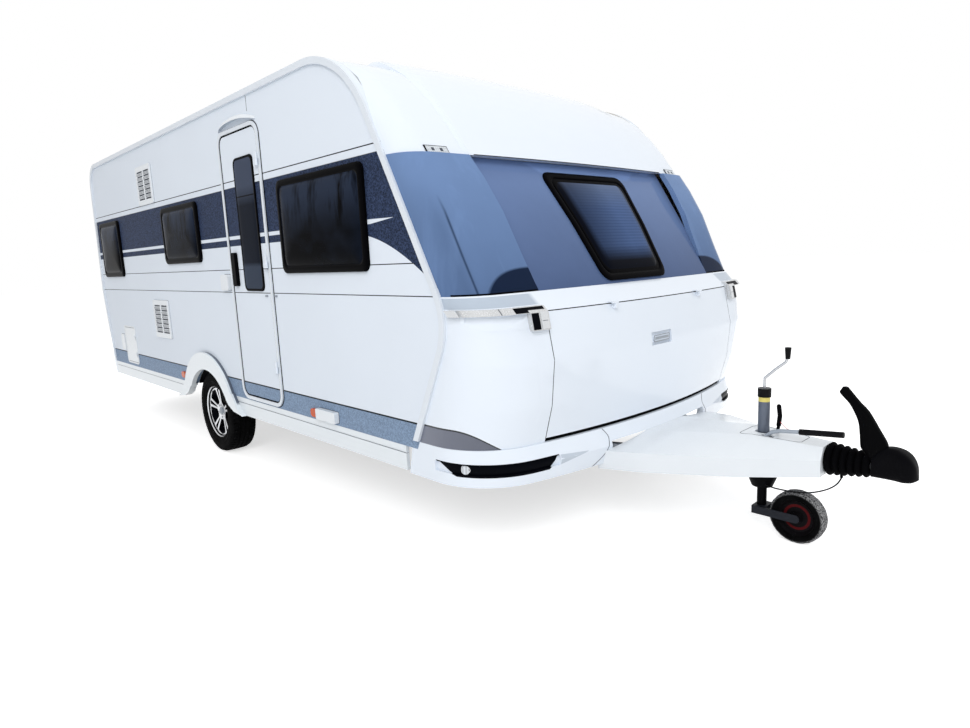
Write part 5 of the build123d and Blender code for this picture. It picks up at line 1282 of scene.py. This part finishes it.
def buildTyres():
    # rows across the tread, then down each wall; columns round the tyre, eight to each lug
    tread = [-0.0800, -0.0700, -0.0600, -0.0520] + tyre["tread"]
    tread += [g + v for g in tyre["grooves"] for v in (-0.0050, -0.0040, 0.0040, 0.0050, 0.0140, 0.0220)]
    tread = np.array(sorted(v for v in tread if abs(v) < tyre["half"] + 0.0001))
    shoulder = np.clip((np.abs(tread) - 0.066) / 0.014, 0, 1)
    crown = tyre["radius"] - 0.0022 * (tread / 0.07) ** 2 - 0.006 * shoulder ** 2
    grooved = sum((np.abs(tread - g) < 0.0045).astype(float) for g in tyre["grooves"])
    wall, bare = np.array(tyre["wall"]), np.zeros(len(tyre["wall"]))
    y = np.concatenate([-wall[::-1, 0], tread, wall[:, 0], [0.0]])
    r = np.concatenate([wall[::-1, 1], crown, wall[:, 1], [tyre["bead"]]])
    groove = np.concatenate([bare, grooved, bare, [0.0]]) * tyre["depth"]
    edge = np.interp(np.abs(y), *tyre["edge"]) * (r > 0.28)
    sipe = np.interp(np.abs(y), *tyre["sipe"]) * (r > 0.30)
    pitch = 2 * np.pi / tyre["lugs"]
    turn = (np.arange(tyre["lugs"])[:, None] + np.array(tyre["turns"])).ravel() * pitch
    slot, cut = (np.tile(tyre[k], tyre["lugs"]) for k in ("slots", "cuts"))
    radius = r[:, None] - np.maximum(groove[:, None], edge[:, None] * slot + sipe[:, None] * cut)
    angle = turn + (tyre["lean"] * pitch * np.sin(y / 0.045) * (np.abs(y) < tyre["half"] + 0.0005))[:, None]
    for side, tag in sides:
        rings = np.stack([tyre["axle"][0] + radius * np.cos(angle), side * (tyre["face"] + y[:, None] + 0 * angle),
                          tyre["axle"][1] + radius * np.sin(angle)], -1)
        loftPiece(f"tyre_{tag}_tread", rings, [paints["tyre"]], f"wheel_{tag}", wrapRows=True, sharp=38.0,
                  stands=[f"tyre_{tag}"])


buildTyres()
rim = {
    "sectors": 5, "inner": 0.066, "outer": 0.186, "hub": [0.031, 0.045, 0.058], "lip": [0.190, 0.193],
    "slit": (0.0035, 0.0125), "edge": (0.0165, 0.0245), "round": (0.5, 0.38), "slitRound": (0.55, 0.33),
    "dish": ([0.031, 0.058, 0.100, 0.186, 0.190, 0.193], [0.046, 0.050, 0.055, 0.067, 0.068, 0.0665]),
    "swell": 0.0035, "thick": 0.016, "bolts": 0.050,
    "bolt": [(0.0085, 0.044), (0.0085, 0.0545), (0.0070, 0.0570), (0.0040, 0.0572)],   # radius, height off the face
    "barrel": [(0.2055, 0.0840), (0.2055, 0.0760), (0.1905, 0.0720), (0.1720, 0.0450), (0.1700, -0.0450),
               (0.1905, -0.0720), (0.2055, -0.0760), (0.2055, -0.0840), (0.1990, -0.0845), (0.1860, -0.0720),
               (0.1650, -0.0450), (0.1640, 0.0300), (0.1740, 0.0450), (0.1860, 0.0560), (0.1925, 0.0640),
               (0.1945, 0.0700), (0.1975, 0.0780), (0.2000, 0.0830), (0.2025, 0.0848)],
    "drum": [(0.118, -0.050), (0.124, -0.046), (0.124, 0.014), (0.118, 0.020), (0.060, 0.022), (0.058, 0.038)],
    "cap": [(0.030, 0.034), (0.031, 0.052), (0.030, 0.0560), (0.027, 0.0580), (0.020, 0.0595), (0.008, 0.0600)]}


def roundedEnds(share, middle, half):
    # 1 along an opening, falling in a quarter circle to 0 at both its ends
    return np.sqrt(np.clip(1 - np.clip((np.abs(share - middle) - half) / 0.12, 0, 1) ** 2, 0, 1))


def spokeFace():
    # rows out from the hub, columns that follow the edges of the openings; the openings' faces are left out
    t = np.linspace(0, 1, 15)
    r = np.concatenate([rim["hub"], rim["inner"] + (rim["outer"] - rim["inner"]) * t, rim["lip"]])
    solid = np.concatenate([[0, 0, 0], t, [1, 1]])
    slit, edge = (rim[k][0] + rim[k][1] * solid for k in ("slit", "edge"))
    sector = 2 * np.pi / rim["sectors"]
    edgeAngle = sector / 2 - (sector / 2 - edge / r) * roundedEnds(solid, *rim["round"])
    slitAngle = slit / r * roundedEnds(solid, *rim["slitRound"])
    edgeAngle, slitAngle = edgeAngle[:, None], slitAngle[:, None]
    u, thin, gap = np.linspace(0, 1, 6), np.linspace(-1, 1, 4)[1:-1], np.linspace(0, 1, 9)[1:-1]
    base = np.concatenate([-edgeAngle + (edgeAngle - slitAngle) * u, slitAngle * thin,
                           slitAngle + (edgeAngle - slitAngle) * u, edgeAngle + (sector - 2 * edgeAngle) * gap], 1)
    kinds = np.tile([0] * 5 + [1] * 3 + [0] * 5 + [2] * 8, rim["sectors"])   # 0 spoke, 1 slit, 2 opening
    crown = np.tile(np.concatenate([4 * u * (1 - u), np.zeros(2), 4 * u * (1 - u), np.zeros(7)]), rim["sectors"])
    swell = crown * np.where((solid > 0.02) & (solid < 0.98), 1.0, 0.3)[:, None]
    angle = np.concatenate([base + k * sector for k in range(rim["sectors"])], 1) + np.pi / 2
    rows, columns = angle.shape
    within = (r[:-1] >= rim["inner"] - 1e-6) & (r[1:] <= rim["outer"] + 1e-6)
    slitHere = within & (np.abs((solid[:-1] + solid[1:]) / 2 - rim["slitRound"][0]) < 0.45)
    open2, open1 = within[:, None] & (kinds == 2)[None], slitHere[:, None] & (kinds == 1)[None]
    quads = gridFaces(rows, columns).reshape(rows - 1, columns, 4)[~(open2 | open1)]
    return r[:, None], np.interp(r, *rim["dish"])[:, None] + rim["swell"] * swell, angle, quads


def buildRims():
    # cast face with near-black walls in its openings, painted shade, then barrel, brake drum, cap and bolts; most of
    # the barrel is near-black as painted shade too
    r, depth, angle, quads = spokeFace()
    centreX, centreZ = tyre["axle"]
    for side, tag in sides:
        body, stands = f"wheel_{tag}", [f"rim_{tag}"]

        def stand(radius, out, around):
            return np.stack([centreX + radius * np.cos(around), side * (tyre["face"] + out) + 0 * around,
                             centreZ + radius * np.sin(around)], -1)

        def turned(profile, count, centre=(centreX, side * tyre["face"], centreZ)):
            return turnedRings(np.array(profile) * [1, side], centre, count)
        points = stand(r, depth, angle).reshape(-1, 3)
        a, b, _, d = points[quads[0]]
        way = 1 if np.cross(b - a, d - a)[1] * side >= 0 else -1
        piece = makePiece(f"rim_{tag}_spokes", points, quads[:, ::way].tolist(), [paints["alloy"], paints["pocket"]],
                          body, stands=stands)
        # painted shade: the walls of the openings and the back take the near-black finish
        wall = piece.modifiers.new("wall", "SOLIDIFY")
        wall.thickness, wall.offset, wall.material_offset, wall.material_offset_rim = rim["thick"], -1.0, 1, 1
        edges = piece.modifiers.new("edges", "BEVEL")
        edges.width, edges.segments, edges.limit_method, edges.material = 0.0012, 2, "ANGLE", 0
        edges.angle_limit = math.radians(50)
        # painted shade: all but the front of the barrel's outer lip takes the near-black finish
        loftPiece(f"rim_{tag}_barrel", turned(rim["barrel"], 120), [paints["alloy"], paints["pocket"]], body,
                  ids=[1] * 16 + [0, 0, 1], wrapRows=True, stands=stands)
        loftPiece(f"rim_{tag}_drum", turned(rim["drum"], 72), [paints["cast"]], body, stands=stands)
        loftPiece(f"rim_{tag}_cap", turned(rim["cap"], 48), [paints["grey"]], body, stands=stands)
        around = np.pi / 2 + 2 * np.pi / rim["sectors"] * (np.arange(rim["sectors"]) + 0.5)
        bolts = [skinRings(turned(rim["bolt"], 6, middle)) for middle in stand(rim["bolts"], 0.0, around)]
        makePiece(f"rim_{tag}_bolts", *joined(bolts), [paints["steel"]], body, stands=stands)


buildRims()
print("wheels built")
jockey = {"centre": (3.199, 0.0, 0.130), "count": 144, "chip": 0.0004, "profile": [
    (0.0882, -0.0340), (0.0950, -0.0372), (0.1080, -0.0380), (0.1180, -0.0366), (0.1250, -0.0320), (0.1288, -0.0260),
    (0.1296, -0.0160), (0.1276, -0.0150), (0.1276, -0.0120), (0.1298, -0.0110), (0.1300, 0.0000), (0.1298, 0.0110),
    (0.1276, 0.0120), (0.1276, 0.0150), (0.1296, 0.0160), (0.1288, 0.0260), (0.1250, 0.0320), (0.1180, 0.0366),
    (0.1080, 0.0380), (0.0950, 0.0372), (0.0882, 0.0340)]}


def buildJockeyTyre():
    # a worn solid tyre: its outer radius falls short by two sine waves that sum to under two millimetres
    rings = turnedRings(jockey["profile"], jockey["centre"], jockey["count"])
    spin = np.linspace(0, 2 * np.pi, jockey["count"], endpoint=False)
    chip = jockey["chip"] * (np.sin(spin * 17) + np.sin(spin * 29 + 1.0) - 2.0)
    away = (rings - jockey["centre"]) * [1, 0, 1]
    length = np.linalg.norm(away, axis=2)[..., None]
    rings = rings + away / length * (chip[None, :, None] * (length > 0.12))
    loftPiece("jockey_tyre_worn", rings, [paints["castorTyre"]], "jockey_wheel", wrapRows=True,
              stands=["jockey_tyre"])


buildJockeyTyre()
hitch = {
    "top": [(3.512, 0.500), (3.540, 0.534), (3.569, 0.549), (3.611, 0.548), (3.653, 0.525), (3.680, 0.481),
            (3.6878, 0.424)],
    "foot": [(3.640, 0.405), (3.665, 0.4085), (3.680, 0.4165), (3.6878, 0.4232)],
    "wide": [(3.512, 0.040), (3.560, 0.042), (3.600, 0.0450), (3.632, 0.0555), (3.660, 0.0480), (3.678, 0.0300),
             (3.6878, 0.006)],
    "leverBack": [(3.366, 0.781), (3.3625, 0.771), (3.372, 0.757), (3.406, 0.722), (3.430, 0.680), (3.446, 0.640),
                  (3.453, 0.590), (3.459, 0.533), (3.474, 0.515), (3.489, 0.497)],
    "leverFront": [(3.374, 0.7965), (3.391, 0.797), (3.404, 0.785), (3.448, 0.733), (3.474, 0.708), (3.494, 0.682),
                   (3.530, 0.621), (3.566, 0.556), (3.560, 0.515), (3.538, 0.474)],
    "leverThick": ([0.485, 0.540, 0.790], [0.030, 0.033, 0.0165])}


def squareRing(count, power):
    # points round a square with rounded corners: |cos| and |sin| to the power 2/p
    turn = np.linspace(0, 2 * np.pi, count, endpoint=False)
    c, s = np.cos(turn), np.sin(turn)
    return np.sign(c) * np.abs(c) ** (2 / power), np.sign(s) * np.abs(s) ** (2 / power)


def buildHitch():
    # cast head: sections along its length whose top, foot and width follow smooth lines
    x, top = curvePath(hitch["top"], 6).T[..., None]
    wide = np.interp(x, *curvePath(hitch["wide"], 6).T)
    foot = np.interp(x, *np.transpose(hitch["foot"]))
    across, up = squareRing(48, 3.6)
    rings = np.stack([x + 0 * across, wide * across, (top + foot) / 2 + (top - foot) / 2 * up], -1)
    loftPiece("coupling_head_cast", rings, [paints["cast"]], stands=["coupling_head"], sharp=50.0)
    # lever: sections between its back and front lines, thinner towards the tip
    back, front = curvePath(hitch["leverBack"], 6), curvePath(hitch["leverFront"], 6)
    centre, reach = (back + front) / 2, (front - back) / 2
    thick = np.interp(centre[:, 1], *hitch["leverThick"])
    thick = thick * np.sqrt(np.clip(1 - np.clip(1 - np.arange(len(centre)) / 5, 0, 1) ** 2, 0.02, 1))
    along, across = squareRing(40, 2.8)
    rings = np.stack([centre[:, :1] + reach[:, :1] * along, thick[:, None] * across,
                      centre[:, 1:] + reach[:, 1:] * along], -1)
    loftPiece("coupling_lever_grip", rings, [paints["lever"]], stands=["coupling_lever"], sharp=50.0)


buildHitch()
gaiter = {"x": (3.327, 3.506), "radii": (0.080, 0.056), "ribs": 6, "deep": 0.017, "axis": 0.452, "bore": 0.0256,
          "gland": [(0.0046, 0.3755), (0.0056, 0.3762), (0.0068, 0.388), (0.0085, 0.402), (0.0090, 0.424)],
          "glandSpot": (3.394, -0.029, 0.0)}


def buildGaiter():
    # convoluted sleeve: rounded ribs with tight valleys on a taper, closed round the tube inside
    x0, x1 = gaiter["x"]
    x = np.linspace(x0, x1, gaiter["ribs"] * 12 + 1)
    wave = np.abs(np.sin(np.pi * gaiter["ribs"] * (x - x0) / (x1 - x0))) ** 0.75
    r = np.interp(x, gaiter["x"], gaiter["radii"]) - gaiter["deep"] * (1 - wave)
    profile = [(gaiter["bore"], x0 - 0.0036), (0.066, x0 - 0.0036), (0.068, x0 - 0.001), *zip(r, x),
               (gaiter["bore"], x1 + 0.0002)]
    rings = turnedRings(profile, (0, 0, gaiter["axis"]), 96, "x")
    loftPiece("bellows_gaiter", rings, [paints["seal"]], wrapRows=True, stands=["bellows"], sharp=60.0)
    gland = turnedRings(gaiter["gland"], gaiter["glandSpot"], 32, "z")
    loftPiece("bellows_gland", gland, [paints["seal"]], stands=["bellows"])


buildGaiter()
canopy = {"x": (-0.150, 0.405), "ends": (2.339, 2.354), "middle": (2.368, 2.403), "reach": 0.0355, "rise": 0.004,
          "off": 0.0003, "backY": [0.93, 0.90, 0.45, 0.0], "backZ": [0.03, 0.10, 0.20, 0.22]}


def buildCanopy():
    # crescent canopy over the door: an arched top that curves out to a lip, with a paler lens under it
    u, s = np.linspace(0, 1, 49)[:, None], np.linspace(0, np.pi / 2, 12)
    arc = 1 - (2 * u - 1) ** 2
    lip, top = (end + (middle - end) * arc for end, middle in zip(canopy["ends"], canopy["middle"]))
    reach = canopy["rise"] + (canopy["reach"] - canopy["rise"]) * (1 - (2 * u - 1) ** 4)
    y = reach * np.concatenate([np.sin(s), canopy["backY"]])
    z = np.concatenate([top - (top - lip) * (1 - np.cos(s)), lip + (top - lip) * canopy["backZ"]], 1)
    x = canopy["x"][0] + (canopy["x"][1] - canopy["x"][0]) * u + 0 * y
    rings = np.stack([x, -(halfBody + canopy["off"]) - y, z], -1)
    loftPiece("door_canopy", rings, [paints["moulding"], paints["shade"]],
              columnIds=[0] * 12 + [1] * 3 + [0], stands=["awning_lamp"])


buildCanopy()
cover = {"x": [2.400, 2.620, 3.000, 3.322], "top": [0.480, 0.497, 0.530, 0.516], "wide": [0.200, 0.150, 0.100, 0.060],
         "centre": (3.078, 0.0), "half": (0.144, 0.088),
         "line": [(-0.0013, -0.001), (-0.0013, 0.0008), (0.0013, 0.0008), (0.0013, -0.001)]}


def onCover(a, b, out):
    # the sloping top of the drawbar cover
    a, b, out = np.broadcast_arrays(a, b, out)
    height, width = (np.interp(a, cover["x"], cover[k]) for k in ("top", "wide"))
    return np.stack([a, b * width / 0.1, height + out], -1)


framePiece("cover_lid_line", onCover, cover["centre"], cover["half"], 0.03, cover["line"], [paints["slot"]])
rearTrim = {
    "plate": ((0.0, 0.490), (0.262, 0.0575), 0.006),
    "plateRows": [(0.0, -0.003), (0.0, 0.005), (-0.004, 0.0065), (-0.006, 0.0045), (-0.010, 0.0045), (-0.02, 0.0046)],
    "lamp": (0.52, 0.725, 1.145), "lampHalf": 0.045,   # z, y near, y far
    "lampRows": [(0.0002, -0.002), (0.0002, 0.003), (0.004, 0.003), (0.004, -0.002)]}


def buildRearTrim():
    # blank plate in its frame, and the rubber round each tail lamp
    platePiece("plate_rear", onEnd("rearBumper"), *rearTrim["plate"], rearTrim["plateRows"],
               [paints["black"], paints["plate"]], ids=[0, 0, 0, 1, 1])
    level, *widths = rearTrim["lamp"]
    near, far = (alongAt("rearBumper", level, y=y) for y in widths)
    for side, tag in sides:
        framePiece(f"tail_lamp_edge_{tag}", onEnd("rearBumper"), (side * (near + far) / 2, level),
                   ((far - near) / 2, rearTrim["lampHalf"]), 0.004, rearTrim["lampRows"], [paints["seal"]])


buildRearTrim()
print("drawbar and rear trim built")
